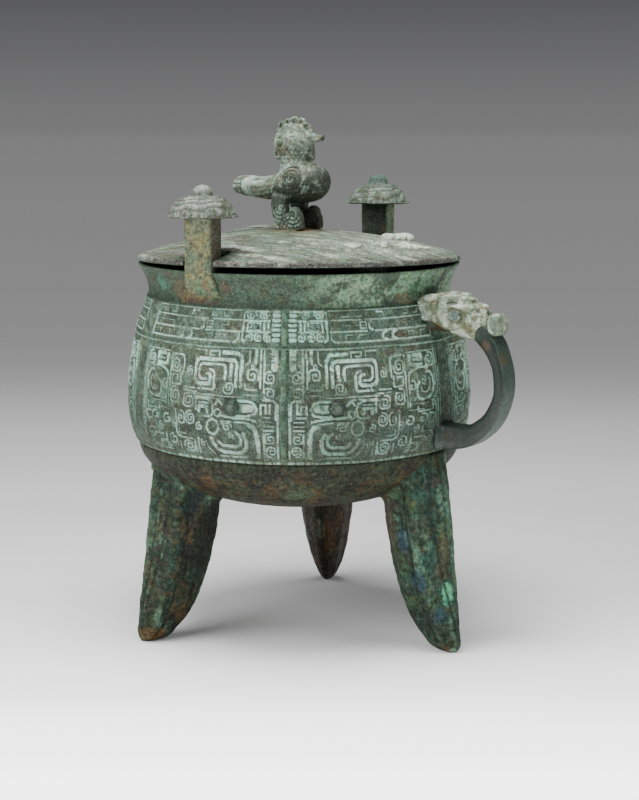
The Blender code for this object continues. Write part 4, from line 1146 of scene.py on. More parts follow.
def paint_handle(mesh):
    points, normals = surface(mesh)
    paint = Paint(points, mix(TEAL, GROOVE, 0.45))
    paint.mottle(mix(TEAL, DARK, 0.6), 8.0, 211, -0.05, 0.5, 0.7)
    paint.mottle(mix(SEA, GREY, 0.3), 7.0, 212, 0.15, 0.4, 0.6)
    paint.mottle(mix(BROWN, UMBER, 0.4), 6.0, 213, 0.3, 0.25, 0.5)
    # The outer face is painted paler, as painted light, and the sides darker, as painted shade
    outer = smooth((points[:, 0] - 118) / 30) * smooth((normals[:, 0] - 0.45) / 0.4)
    paint.layer(mix(TEAL, GREY, 0.55), outer * 0.8)
    # Painted shade on the sides
    flank = smooth((np.abs(normals[:, 1]) - 0.62) / 0.12) * smooth((points[:, 0] - 122) / 10)
    paint.layer(mix(DARK * 0.5, TEAL, 0.25), flank * 0.9)
    # Painted shade: a dark line where the sides turn into the outer face
    edge = np.exp(-((np.abs(normals[:, 1]) - 0.62) / 0.08) ** 2) * smooth((points[:, 0] - 122) / 10)
    paint.layer(DARK, edge * 0.7)
    # Brown, orange and green under the head
    paint.patch(mix(BROWN, UMBER, 0.4), (112, -8, 217), (17, 9, 7), 218, 0.85)
    paint.patch(mix(RUST, BROWN, 0.4), (118, -9, 219), (12, 6, 4), 219, 0.6)
    paint.patch(mix(BRIGHT, SEA, 0.5), (108, -9, 222), (7, 6, 5), 220, 0.6)
    paint.patch(mix(ORANGE, BROWN, 0.3), (152, -9, 209), (3, 3, 2.6), 214, 0.6)
    paint.patch(mix(ORANGE, OLIVE, 0.3), (160, -4, 199), (3, 4, 5), 215, 0.55)
    paint.patch(mix(BROWN, UMBER, 0.2), (124, -10, 148), (6, 4, 4), 216, 0.4)
    paint.patch(mix(BRIGHT, SEA, 0.4), (143, -9, 214), (4, 4, 3), 217, 0.5)
    return paint.rgb


def make_head():
    """Snout outwards, a deep jaw, brow and eyes in the middle, two horns laid back towards the bowl."""
    levels = smooth_path((
        # back from the tip, up from the middle line, half width, half height
        (0.0, -7.0, 5.4, 5.2), (1.4, -7.0, 7.0, 6.8), (4.5, -7.0, 7.6, 7.4), (7.6, -7.0, 7.3, 7.1),
        (9.2, -6.9, 6.5, 6.2), (11.2, -7.0, 7.6, 7.6), (15.0, -6.7, 9.4, 9.6), (19.0, -6.0, 10.8, 11.4),
        (25.0, -4.0, 11.8, 12.4), (31.0, -2.2, 12.2, 12.4), (38.0, -0.6, 12.3, 11.4), (46.0, 0.8, 12.0, 10.0),
        (54.0, 1.3, 11.7, 8.6), (59.0, 1.4, 11.4, 7.4)), 5)
    rings = []
    for back, up, wide, high in levels:
        corners = [(side * wide, up + rise * high) for side, rise in (
            (0.0, 1.02), (0.62, 0.88), (0.98, 0.35), (1.0, -0.55), (0.88, -1.0), (-0.88, -1.0), (-1.0, -0.55),
            (-0.98, 0.35), (-0.62, 0.88))]
        outline = evenly(rounded(corners, 2.2), 44)
        rings.append([(HEAD_TIP - back, side, HEAD_MIDDLE + rise) for side, rise in outline])
    build = Build()
    build.skin(rings)

    def cord(side, levels, steps, around):
        """A cord on one side of the head: back from the tip, out, up, radius."""
        line = smooth_path(levels, steps)
        path = [(HEAD_TIP - back, side * out, HEAD_MIDDLE + up) for back, out, up, _ in line]
        build.skin(tube(path, line[:, 3], around))

    for side in (-1, 1):
        # Horn: a thick C lying on the cheek, round a raised whorl
        cord(side, ((30, 9.4, 8.0, 2.0), (38, 10.6, 8.6, 2.6), (48, 11.0, 8.0, 2.8), (55.4, 11.0, 6.6, 2.6),
                    (57.2, 11.2, 3.0, 2.2), (56.6, 11.3, -2.6, 2.0), (52, 11.4, -5.2, 1.8),
                    (45, 11.2, -4.6, 1.4)), 6, 16)
        build.skin(ball((HEAD_TIP - 38.5, side * 11.4, HEAD_MIDDLE + 5.0), (3.6, 2.4, 3.2)), "point")
        build.skin(ball(HEAD_EYE[:1] + (side * 11.4, HEAD_EYE[1]), (4.2, 2.0, 3.2)), "point")
        # Brow
        cord(side, ((17.5, 9.0, -0.6, 1.3), (22, 11.0, 2.2, 1.9), (29, 11.8, 3.6, 2.2), (36, 12.0, 1.4, 1.9),
                    (38.6, 12.0, -3.0, 1.3)), 5, 12)
        build.skin(ball((HEAD_TIP - 4.0, side * 5.6, HEAD_MIDDLE - 4.6), (2.4, 2.4, 2.2)), "point")
    # Lumps of corrosion on the brow and snout
    for back, out, up, size in ((12.5, -3.5, 1.0, 2.6), (16.0, 1.0, 3.6, 2.8), (18.5, -5.8, 3.4, 2.8),
                                (23.0, -1.5, 7.4, 2.8), (15.0, -7.2, -1.2, 2.2), (27.0, -5.6, 8.4, 2.4),
                                (33.0, 0.5, 9.6, 2.8), (40.0, -5.0, 10.0, 2.4)):
        build.skin(ball((HEAD_TIP - back, out, HEAD_MIDDLE + up), (size * 1.3, size, size * 0.7)), "point")
    mesh = fused("animal_head", build)
    points, normals = surface(mesh)
    back = HEAD_TIP - points[:, 0]
    out = np.abs(points[:, 1])
    up = points[:, 2] - HEAD_MIDDLE
    # Cut lines: behind the snout's ring, round the eye, along the horn and the nostril
    cut = 0.7 * np.exp(-((back - 9.4) / 0.7) ** 2)
    eye = np.hypot(points[:, 0] - HEAD_EYE[0], points[:, 2] - HEAD_EYE[1])
    cut = cut + 0.8 * np.exp(-((eye - 4.6) / 0.6) ** 2) * (out > 8.5)
    jaw = np.exp(-((up + 11.0 + 0.28 * (back - 30)) / 0.5) ** 2)
    cut = cut + 0.6 * jaw * (back > 13) * (back < 40) * (out > 8)
    curl = spiral_field(back - 38.5, up - 5.0, 1.7)
    cut = cut + 0.6 * curl * smooth((out - 9.5) / 1.5)
    cut = cut + 0.6 * spiral_field(back - 4.4, up + 5.0, 1.5) * (out > 4.4)
    lump = 0.45 * noise(points, 4.0, 221) + 0.22 * noise(points, 1.5, 222)
    lump = lump * smooth((back + 4) / 8)
    move_points(mesh, points + normals * (lump - cut)[:, None])
    return mesh, cut


def spiral_field(x, y, pitch, sense=1):
    """1 on the groove of a spiral round the middle, 0 between its turns."""
    radius = np.hypot(x, y)
    phase = radius / pitch + sense * np.arctan2(y, x) / (2 * math.pi)
    phase = phase - np.floor(phase)
    near = np.exp(-((phase - 0.5) / 0.17) ** 2)
    return near * smooth((radius - 0.4) / 0.8) * smooth((4.2 * pitch - radius) / pitch)


def paint_head(mesh, cut):
    points, normals = surface(mesh)
    paint = Paint(points, mix(GREY, WHITE, 0.5))
    paint.mottle(mix(MINT, WHITE, 0.4), 6.0, 231, 0.0, 0.5, 0.7)
    paint.mottle(mix(MOSS, OLIVE, 0.6), 6.4, 232, 0.1, 0.3, 0.8)
    paint.mottle(mix(BROWN, OLIVE, 0.3), 4.0, 233, 0.3, 0.25, 0.75)
    paint.mottle(WHITE, 4.4, 234, 0.35, 0.3, 0.7)
    paint.layer(mix(DARK, MOSS, 0.45), np.clip(cut * 1.3, 0, 1) * 0.75)
    back = HEAD_TIP - points[:, 0]
    snout = smooth((9.0 - back) / 1.5)
    paint.layer(mix(GREY, TEAL, 0.45), snout * 0.85)
    paint.layer(WHITE, snout * specks(points, 4.0, 235, 0.1) * 0.7)
    paint.layer(mix(MOSS, DARK, 0.3), snout * specks(points, 3.0, 237, 0.15) * 0.7)
    tip = smooth((1.4 - back) / 1.0)
    paint.layer(mix(GREY, BROWN, 0.3), tip * 0.5)
    eye = np.hypot(points[:, 0] - HEAD_EYE[0], points[:, 2] - HEAD_EYE[1])
    near = np.abs(points[:, 1]) > 8.5
    paint.layer(mix(colour(92, 108, 118), TEAL, 0.2), smooth((3.4 - eye) / 1.0) * near * 0.9)
    # Painted shade on the underside, with brown-rust specks on it further back
    under = smooth((-normals[:, 2] - 0.4) / 0.35)
    paint.layer(mix(UMBER, SEA, 0.45), under * 0.75)
    paint.layer(mix(BROWN, RUST, 0.3), under * specks(points, 6.0, 236, 0.1) * smooth((back - 30) / 8) * 0.6)
    return paint.rgb


# Posts and caps

def make_post(side):
    half = POST_WIDTH / 2
    face_out = POST_RADIUS + POST_DEPTH / 2
    face_in = POST_RADIUS - POST_DEPTH / 2
    levels = [(CAP_EDGE + 3.0, face_out, face_in, half), (RIM + 2.0, face_out, face_in, half),
              (RIM - 0.12 * POST_ROOT, face_out + 0.2, face_in, half * 1.03)]
    for drop, proud, wide in ((0.45, 0.26, 1.08), (0.78, 0.04, 1.12), (1.0, -0.25, 1.14)):
        z = RIM - drop * POST_ROOT
        neck = float(bowl_radius(z)) - BAND_STEP
        levels.append((z, neck + proud * POST_DEPTH, neck - 0.7 * WALL, half * wide))
    rings = []
    for z, out, inner, wide in smooth_path(levels, 12):
        corners = ((wide, inner), (wide, out), (-wide, out), (-wide, inner))
        outline = evenly(rounded(corners, 2.2), 72)
        rings.append([(POST_X + x, side * y, z) for x, y in outline])
    rings = np.array(rings)
    direction = outwards(rings, True)
    rough = 0.28 * noise(rings, 7.0, 241 + side) + 0.12 * noise(rings, 2.0, 243 + side)
    # The faces are split by fine upright cracks
    crack = np.exp(-((noise(rings * np.array((1, 1, 0.12)), 5.0, 245 + side)) / 0.035) ** 2) * 0.35
    rings = rings + direction * (rough - crack)[..., None]
    return skinned("post", rings)


def make_cap(side):
    """A dome with fine whorled ridges under a knob, nicked along its edge."""
    steps = 240
    # The knob nearer the viewer is a low bun, the other one stands up straighter
    square = 2.0 if side < 0 else 3.4
    profile = []
    for t in np.linspace(0.06, 0.97, 14):
        rise = (KNOB_HEIGHT + 0.9) * (1 - t ** square) ** (1 / 2.2)
        profile.append((CAP_KNOB * t, CAP_HEIGHT - 1.0 + rise))
    knob_points = len(profile)
    for t in np.linspace(0.0, 0.985, 50):
        radius = mix(CAP_KNOB, CAP_RADIUS, t)
        share = (radius - 3.0) / (CAP_RADIUS - 3.0)
        profile.append((radius, max(CAP_HEIGHT * math.cos(math.pi / 2 * share ** 1.9) - 0.4, 1.2)))
    profile += [(CAP_RADIUS - 0.1, 0.8), (CAP_RADIUS - 0.4, 0.2), (CAP_RADIUS - 1.8, 0.0),
                (0.5 * CAP_RADIUS, 0.3), (0.1, 0.3)]
    rings = turned(profile, steps)
    angle = np.linspace(0, 2 * math.pi, steps, endpoint=False)
    radius = np.hypot(rings[..., 0], rings[..., 1])
    top = smooth((radius - CAP_KNOB - 0.6) / 1.0) * smooth((CAP_RADIUS - 0.4 - radius) / 0.8)
    top[:knob_points] = 0
    top[-EDGE_ROWS:] = 0
    place = rings + np.array((POST_X, side * POST_RADIUS, CAP_EDGE))
    waver = 0.5 * noise(place, 14.0, 257 + side)
    ridge = np.cos(2 * math.pi * (cap_whorl(radius, angle) + waver))
    nicks = np.clip(np.cos(CAP_NICKS * angle + 3 * waver), 0, 1) ** 2
    nicks = nicks * smooth((radius - CAP_RADIUS + 3.0) / 1.5)
    place[..., 2] += top * (0.20 * ridge - 0.1) - 0.35 * nicks * (top > 0)
    place[..., 2] += 0.35 * noise(place, 5.0, 251 + side) + 0.16 * noise(place, 1.8, 253 + side)
    edge = smooth((radius - CAP_RADIUS + 2.5) / 2.0)
    for k in (0, 1):
        step = rings[..., k] / np.maximum(radius, 1e-6) * edge * 0.45
        place[..., k] += step * (noise(place, 5.0, 255 + side) - 0.4)
    return skinned("cap", place, "point")


def cap_whorl(radius, angle):
    """Turns of the two-armed whorl on a cap: one more at each ridge."""
    return radius / 2.9 + angle / math.pi


def paint_post(mesh, side):
    points, normals = surface(mesh)
    z = points[:, 2]
    if side < 0:
        paint = Paint(points, mix(OLIVE, GREY, 0.4))
        paint.mottle(mix(MOSS, MINT, 0.4), 7.0, 261, 0.05, 0.4, 0.7)
        paint.mottle(colour(150, 136, 90), 7.0, 262, 0.0, 0.4, 0.6)
        paint.mottle(mix(GREY, WHITE, 0.3), 4.0, 263, 0.35, 0.3, 0.6)
        teal_low = np.exp(-((z - RIM - 5) / 7) ** 2) * smooth(0.5 + noise(points, 7.0, 269))
        paint.layer(mix(TEAL, MOSS, 0.3), teal_low * 0.7)
        # Painted shade on the faces turned towards the handle's side
        paint.layer(mix(UMBER, colour(70, 62, 64), 0.5), smooth((normals[:, 0] - 0.4) / 0.3) * 0.85)
    else:
        paint = Paint(points, mix(DARK, SEA, 0.3))
        streak = points * np.array((1, 1, 0.2))
        paint.layer(mix(BROWN, RUST, 0.2), specks(streak, 4.0, 264, 0.1) * 0.7)
        paint.layer(mix(MINT, BRIGHT, 0.3), specks(streak, 4.0, 265, 0.25) * 0.7)
        paint.layer(DARK, specks(streak, 3.0, 266, 0.1) * 0.75)
        paint.layer(mix(MINT, MOSS, 0.3), smooth((normals[:, 0] - 0.4) / 0.3) * 0.6)
    low = smooth((RIM - 1 - z) / 7)
    paint.layer(mix(SEA, MOSS, 0.5), low * 0.7)
    paint.layer(mix(RUST, OLIVE, 0.35), low * specks(points, 5.0, 267, -0.05) * 0.7)
    paint.layer(mix(BRIGHT, SEA, 0.3), low * specks(points, 4.0, 268, 0.2) * 0.7)
    root = smooth((RIM - 12 - z) / 5) * smooth(0.45 + noise(points, 5.0, 270))
    paint.layer(mix(RED, BROWN, 0.4), root * 0.7)
    return paint.rgb


def paint_cap(mesh, side):
    points, normals = surface(mesh)
    x, y = points[:, 0] - POST_X, points[:, 1] - side * POST_RADIUS
    radius = np.hypot(x, y)
    waver = 0.5 * noise(points, 14.0, 257 + side)
    ridge = np.cos(2 * math.pi * (cap_whorl(radius, np.arctan2(y, x)) + waver))
    paint = Paint(points, mix(MINT, GREY, 0.5))
    if side > 0:
        paint.mottle(mix(TEAL, MINT, 0.2), 9.0, 273, -0.2, 0.4, 0.8)
    paint.mottle(mix(WHITE, MINT, 0.5), 6.0, 271, 0.1, 0.4, 0.7)
    paint.mottle(mix(MOSS, BROWN, 0.4), 4.0, 272, 0.15, 0.3, 0.75)
    paint.mottle(colour(152, 134, 136), 7.0, 274, 0.35, 0.3, 0.5)
    paint.mottle(DARK, 2.4, 275, 0.35, 0.3, 0.6)
    on_dome = smooth((radius - CAP_KNOB) / 1.0)
    paint.layer(mix(UMBER, MOSS, 0.3), smooth((-ridge - 0.1) / 0.5) * 0.7 * on_dome)
    nicks = np.clip(np.cos(CAP_NICKS * np.arctan2(y, x) + 3 * waver), 0, 1) ** 2
    paint.layer(mix(UMBER, DARK, 0.3), nicks * smooth((radius - CAP_RADIUS + 3.0) / 1.5) * 0.7)
    foot = np.exp(-((radius - CAP_KNOB - 0.5) / 0.8) ** 2)
    paint.layer(mix(UMBER, SEA, 0.3), foot * 0.7)
    if side > 0:
        paint.layer(mix(TEAL, BRIGHT, 0.3), smooth((CAP_KNOB + 0.5 - radius) / 1.5) * 0.75)
    else:
        paint.layer(mix(MINT, WHITE, 0.4), smooth((CAP_KNOB - radius) / 1.5) * 0.6)
    # Painted shade on the underside
    under = smooth((-normals[:, 2] - 0.2) / 0.3)
    paint.layer(mix(DARK, BROWN, 0.4), under * 0.8)
    return paint.rgb


# Lid

def lid_height(radius):
    share = radius / LID_RADIUS
    return LID_TOP - LID_RISE * (0.55 * share ** 1.4 + 0.45 * share ** 3.2)


def lid_lift(x, y):
    """The lid is bent up along its front edge."""
    share = np.hypot(x, y) / LID_RADIUS
    facing = np.clip(np.cos(np.arctan2(y, x) - LID_LIFT_ANGLE), 0, 1)
    return LID_LIFT * facing ** 0.8 * share ** 2


def make_lid():
    steps = 440
    radii = np.concatenate([np.linspace(1.0, 100, 84), np.linspace(101, LID_RADIUS - 0.8, 10)])
    profile = [(r, lid_height(r)) for r in radii]
    profile += [(LID_RADIUS - 0.25, lid_height(LID_RADIUS) - 0.5),
                (LID_RADIUS, lid_height(LID_RADIUS) - 1.2), (LID_RADIUS, LID_SEAT + 1.0),
                (LID_RADIUS - 0.4, LID_SEAT + 0.3), (LID_RADIUS - 1.2, LID_SEAT)]
    top_rows = len(profile)
    profile += [(r, lid_height(r) - LID_THICK) for r in np.linspace(LID_RADIUS - 3, 1.0, 30)]
    rings = turned(profile, steps)
    x, y = rings[..., 0], rings[..., 1]
    rows = np.arange(len(profile))[:, None]
    on_top = (rows < top_rows - EDGE_ROWS) * 1.0
    rings[..., 2] += lid_lift(x, y)
    # Low swellings, fine turned lines that are mostly worn away, and pitting
    radius = np.hypot(x, y)
    swelling = 0.7 * noise(rings, 46.0, 281, 2) * smooth((LID_RADIUS - radius) / 12)
    lines = 0.10 * np.cos(2 * math.pi * radius / 2.6) * smooth(0.5 + noise(rings, 18.0, 282))
    pitting = 0.10 * noise(rings, 2.2, 283)
    rings[..., 2] += on_top * (np.clip(swelling, -0.5, 0.9) + lines + pitting)
    hump = 4.4 * np.exp(-(((x + 52) / 24) ** 2 + ((y - 26) / 24) ** 2))
    hump = hump - 1.8 * np.exp(-(((x - 40) / 26) ** 2 + ((y - 84) / 20) ** 2))
    rings[..., 2] += on_top * hump
    obj = placed("lid_plate", skinned("lid_plate", rings, "point"))
    cutters = Build()
    for side in (-1, 1):
        outline = evenly(rounded([(POST_X + w * NOTCH_WIDTH / 2, side * d) for w, d in (
            (-1, NOTCH_END), (1, NOTCH_END), (1, LID_RADIUS + 6), (-1, LID_RADIUS + 6))], 1.2), 48)
        cutters.skin([[(px, py, z) for px, py in outline] for z in (LID_SEAT - 20, LID_TOP + 20)])
    cutter = placed("notches", cutters.mesh("notches"))
    cut = obj.modifiers.new("Notches", 'BOOLEAN')
    cut.operation = 'DIFFERENCE'
    cut.object = cutter
    cut.solver = 'EXACT'
    mesh = evaluated(obj)
    bpy.data.objects.remove(cutter, do_unlink=True)
    mesh.set_sharp_from_angle(angle=math.radians(50))
    return mesh


def paint_lid(mesh):
    points, normals = surface(mesh)
    radius = np.hypot(points[:, 0], points[:, 1])
    facing = np.arctan2(points[:, 1], points[:, 0]) - LID_LIFT_ANGLE
    front = np.clip(np.cos(facing), 0, 1)
    paint = Paint(points, mix(GREY, MINT, 0.35))
    streak = points @ np.array(((0.22, 0.0, 0.0), (0.0, 1.0, 0.0), (0.0, 0.0, 1.0)))
    paint.layer(mix(MOSS, DARK, 0.25), smooth(noise(streak, 8.0, 291) * 1.6 + 0.35) * 0.7)
    paint.layer(WHITE, specks(streak, 5.0, 292, 0.05, 0.25) * 0.75)
    paint.layer(mix(BROWN, DARK, 0.4), specks(streak, 4.0, 293, 0.15, 0.2) * 0.8)
    paint.mottle(mix(SEA, MINT, 0.3), 16.0, 294, 0.2, 0.4, 0.5)
    paint.mottle(UMBER, 2.4, 295, 0.4, 0.2, 0.6)
    # Olive and green near the bird and on the far side, whitish on the side towards the handle
    near_bird = smooth((46 - np.hypot(points[:, 0] - 8, points[:, 1] + 8)) / 20)
    paint.layer(mix(OLIVE, MOSS, 0.5), near_bird * 0.45)
    white = np.exp(-(((points[:, 0] - 68) / 24) ** 2 + ((points[:, 1] + 8) / 40) ** 2))
    paint.layer(mix(WHITE, GREY, 0.35), white * smooth(0.6 + noise(points, 5.0, 299)) * 0.75)
    rim = smooth((radius - LID_RADIUS + 12) / 6)
    paint.layer(mix(MOSS, SEA, 0.7), rim * smooth(0.5 + noise(points, 8.0, 296)) * 0.6)
    paint.layer(mix(UMBER, MOSS, 0.3), rim * specks(points, 4.0, 300, 0.2) * 0.6)
    # The raised front edge is dull purple-brown with white flakes
    edge = smooth((radius - LID_RADIUS + 1.0) / 0.8)
    paint.layer(mix(VIOLET, UMBER, 0.55), edge * (0.35 + 0.5 * front))
    paint.layer(mix(GREY, WHITE, 0.5), edge * specks(points, 5.0, 297, 0.15) * 0.7)
    middle = smooth((26 - np.hypot(points[:, 0] - 2, points[:, 1])) / 12)
    paint.layer(mix(ORANGE, OLIVE, 0.5), middle * specks(points, 6.0, 298, -0.1, 0.4) * 0.7)
    # Painted shade on the underside
    under = smooth((-normals[:, 2] - 0.1) / 0.3)
    paint.layer(mix(DARK, SEA, 0.3), under * 0.85)
    return paint.rgb


# Groups of flakes on the lid: middle, reach, how many, and the greatest size
FLAKES = ((68, -36, 5, 5, 2.8), (59, 29, 6, 10, 4.0), (49, 53, 5, 8, 4.4), (84, 5, 7, 8, 3.0),
          (74, -10, 12, 12, 1.8), (88, 17, 5, 6, 2.2))


def make_crust():
    """Whitish flakes of corrosion on the lid, on the side towards the handle."""
    build = Build()
    seed = np.random.default_rng(7)
    for cx, cy, reach, count, most in FLAKES:
        for _ in range(count):
            x, y = seed.normal((cx, cy), reach * 0.5)
            size = seed.uniform(0.5, 1.0) * most * 1.15
            turn = seed.uniform(0, math.pi)
            flat = seed.uniform(0.6, 0.95)
            if math.hypot(x, y) > LID_RADIUS - size - 2:
                continue
            z = float(lid_height(math.hypot(x, y)) + lid_lift(x, y))
            unit = ball((0, 0, 0), (size * 1.7, size * 1.2, size * flat), 12, 7)
            c, s = math.cos(turn), math.sin(turn)
            flake = (x + c * unit[..., 0] - s * unit[..., 1], y + s * unit[..., 0] + c * unit[..., 1],
                     z + unit[..., 2])
            build.skin(np.stack(flake, -1), "point")
    mesh = fused("lid_crust", build)
    points, normals = surface(mesh)
    move_points(mesh, points + normals * (0.4 * noise(points, 2.4, 301))[:, None])
    return mesh


def paint_crust(mesh):
    paint = Paint(points_of(mesh), mix(GREY, WHITE, 0.55))
    paint.mottle(MOSS, 3.0, 302, 0.2, 0.3, 0.6)
    paint.mottle(WHITE, 2.4, 303, 0.2, 0.3, 0.7)
    paint.mottle(BROWN, 2.0, 304, 0.45, 0.2, 0.5)
    return paint.rgb


# Bird

def oval_ring(x, low, high, wide, count=36):
    turn = np.linspace(0, 2 * math.pi, count, endpoint=False)
    return np.stack([np.full(count, x), wide * np.cos(turn),
                     LID_TOP + (low + high) / 2 + (high - low) / 2 * np.sin(turn)], 1)


def make_bird():
    """A standing bird with an openwork comb, facing the handle."""
    build = Build()
    body = smooth_path(((-52, 25.2, 31.6, 5.5), (-50.6, 22.8, 34.2, 8.2), (-43, 21.4, 35.8, 9.0),
                        (-31, 20.0, 35.0, 9.2), (-20, 18.9, 36.6, 11.0), (-9, 18.4, 41.0, 13.8),
                        (2, 18.2, 45.0, 15.0), (12, 19.0, 44.5, 13.8), (19, 22.5, 41.5, 10.0),
                        (22.3, 28.0, 37.0, 5.0)), 6)
    build.skin([oval_ring(*level) for level in body])
    neck = smooth_path(((36.0, 0.8, 15.0), (41.0, -0.6, 12.6), (46.0, -2.0, 10.9), (50.0, -2.8, 10.4),
                        (55.0, -3.2, 11.4)), 5)
    turn = np.linspace(0, 2 * math.pi, 36, endpoint=False)
    build.skin([np.stack([x + r * np.cos(turn), r * np.sin(turn), np.full(36, LID_TOP + z)], 1)
                for z, x, r in neck])
    head = np.array((BIRD_HEAD[0], 0.0, LID_TOP + BIRD_HEAD[1]))
    build.skin(ball(head, (13.8, 12.6, 13.0), 40, 24), "point")

    def cord(levels, steps, around, flatten=1.0):
        """A cord in the bird's middle plane: along, up, radius."""
        line = smooth_path(levels, steps)
        build.skin(tube([(x, 0, LID_TOP + z) for x, z, _ in line], line[:, 2], around, flatten))

    # Beak and wattle
    cord(((5.0, 61.2, 4.4), (9.0, 61.8, 3.6), (13.0, 61.6, 2.8), (17.0, 61.4, 2.3), (19.4, 61.8, 2.1),
          (20.6, 62.0, 1.5)), 5, 18, 0.8)
    cord(((10.4, 59.0, 1.7), (11.6, 55.0, 1.5), (12.0, 51.0, 1.5), (11.4, 46.6, 1.6)), 4, 14, 0.8)
    # Comb: small rings round the head, and a hook at the nape
    for k in range(COMB_RINGS):
        angle = math.radians(24 + 21.5 * k)
        size = 2.5 if k % 2 else 2.1
        centre = head + (COMB_RADIUS + 0.35 * (k % 3)) * np.array((math.cos(angle), 0, math.sin(angle)))
        rings = []
        for t in np.linspace(0, 2 * math.pi, 21)[:-1]:
            out = np.array((math.cos(t), 0, math.sin(t)))
            ring = np.linspace(0, 2 * math.pi, 10, endpoint=False)[:, None]
            section = out * np.cos(ring) + np.array((0, 1.3, 0)) * np.sin(ring)
            rings.append(centre + size * out + section * 1.15)
        build.skin(rings, "joined")
    cord(((-13.0, 48.4, 1.4), (-17.4, 48.0, 1.4), (-19.6, 50.2, 1.4), (-19.0, 53.2, 1.4),
          (-16.8, 54.0, 1.2)), 5, 12)
    for side in (-1, 1):
        build.skin(ball((BIRD_EYE[0], side * 10.6, LID_TOP + BIRD_EYE[1]), (2.5, 2.5, 2.5), 20, 12), "point")
        make_bird_leg(build, side)
    mesh = fused("bird", build)
    points, normals = surface(mesh)
    cut, rim = bird_cuts(points, normals)
    lump = 0.24 * noise(points, 3.0, 311) + 0.14 * noise(points, 1.2, 312)
    move_points(mesh, points + normals * (lump - cut + rim)[:, None])
    return mesh, cut


def make_bird_leg(build, side):
    """A flat scrolled plate that bows backwards from the belly to the lid, with a knee in front."""
    near, far = 7.6, 15.0
    line = smooth_path(((-6.0, 23.5, 6.6), (-7.6, 16.5, 6.0), (-6.4, 9.5, 5.8), (-1.6, 4.6, 5.6),
                        (3.6, 1.6, 5.6), (6.6, -1.6, 5.6)), 6)
    rings = []
    for i, (x, z, half) in enumerate(line):
        along = (line[min(i + 1, len(line) - 1)] - line[max(i - 1, 0)])[:2]
        along /= np.linalg.norm(along)
        across = np.array((-along[1], along[0])) * half
        front, back = (x + across[0], z + across[1]), (x - across[0], z - across[1])
        corners = [(front[0], side * near, front[1]), (back[0], side * near, back[1]),
                   (back[0], side * far, back[1]), (front[0], side * far, front[1])]
        ring = evenly(rounded(corners, 1.2), 24)
        ring[:, 2] = np.maximum(ring[:, 2], -2.0) + LID_TOP
        rings.append(ring)
    build.skin(rings)
    knee = rounded(((1.0, 9.0), (1.0, 14.2), (4.6, 16.2), (8.2, 13.6), (10.6, 7.0), (11.0, 0.0),
                    (2.0, 0.0)), 2.4)
    rings = []
    for y, inset in ((near + 0.4, 0.93), (near + 1.0, 1.0), (far - 1.2, 1.0), (far - 0.6, 0.93)):
        middle = knee.mean(0)
        outline = middle + (knee - middle) * inset
        rings.append([(x, side * y, LID_TOP + z) for x, z in outline])
    build.skin(rings)


def bird_cuts(points, normals):
    """Depth of the bird's cut lines (wing spirals, scales, squares, scrolls), and its raised head rim."""
    x, y = points[:, 0], points[:, 1]
    z = points[:, 2] - LID_TOP
    side = smooth((np.abs(normals[:, 1]) - 0.25) / 0.35)
    body = smooth((z - 18) / 1.5) * smooth((47 - z) / 3)
    away = np.hypot(x - WING[0], z - WING[1])
    cut = 0.85 * spiral_field(x - WING[0], z - WING[1], 2.25) * side * body
    # Lines sweep round the spiral over the breast and back to the tail
    arcs = np.exp(-(((away / 2.5) % 1.0 - 0.5) / 0.17) ** 2) * smooth((away - 9.2) / 0.8)
    cut = cut + 0.40 * arcs * body * smooth((x + 14 + 0.6 * (z - 30)) / 4) * smooth((17 - away) / 5)
    feather = np.exp(-((((z - 27 - 0.14 * (x + 20)) / 3.0) % 1.0 - 0.5) / 0.16) ** 2)
    cut = cut + 0.35 * feather * body * smooth((-x - 12) / 4) * smooth((x + 36) / 4)
    # Squares at the tail's end
    grid = np.maximum(np.exp(-((((x + 53.0) / 3.9) % 1.0 - 0.5) / 0.14) ** 2),
                      np.exp(-((((z - 20.6) / 3.7) % 1.0 - 0.5) / 0.14) ** 2))
    cut = cut + 0.65 * grid * smooth((-41.5 - x) / 1.5) * smooth((z - 21.5) / 1.5)
    # Scales round the neck, in staggered rows
    turn = np.arctan2(y, x + 2.5)
    row = np.floor(z / 2.9)
    lift = z / 2.9 - row
    across = (turn / (2 * math.pi) * 20 + 0.5 * (row % 2)) % 1.0 - 0.5
    scale = np.exp(-((lift - 0.15 - 2.6 * across ** 2) / 0.17) ** 2)
    cut = cut + 0.55 * scale * smooth((z - 41.5) / 2) * smooth((55.5 - z) / 1.5)
    # Ring groove round the eye, and the rim that runs over the head beside the comb
    head = smooth((z - 50) / 2)
    eye = np.hypot(x - BIRD_EYE[0], z - BIRD_EYE[1])
    cut = cut + 0.8 * np.exp(-((eye - 3.1) / 0.55) ** 2) * head * (np.abs(y) > 5)
    round_head = np.hypot(x - BIRD_HEAD[0], z - BIRD_HEAD[1])
    upper = smooth((z - 52) / 3) * smooth((7 - x) / 4) * head
    rim = 0.8 * np.exp(-((np.abs(y) - 5.4) / 0.9) ** 2) * smooth((round_head - 9) / 1.5) * upper
    cut = cut + 0.5 * np.exp(-((np.abs(y) - 7.4) / 0.6) ** 2) * smooth((round_head - 7.5) / 1.5) * upper
    # Small scrolls between the eye and the beak
    cut = cut + 0.5 * spiral_field(x - 1.5, z - 57.5, 1.5) * head * side * (x > -4)
    # Scrolls on the legs
    leg = smooth((17.5 - z) / 1.5) * side * (np.abs(y) > 6)
    scroll = np.maximum(spiral_field(x + 5.0, z - 14.0, 2.6), spiral_field(x - 4.6, z - 10.0, 2.8, -1))
    cut = cut + 0.8 * leg * np.maximum(scroll, spiral_field(x - 2.0, z - 1.0, 2.6))
    return cut, rim


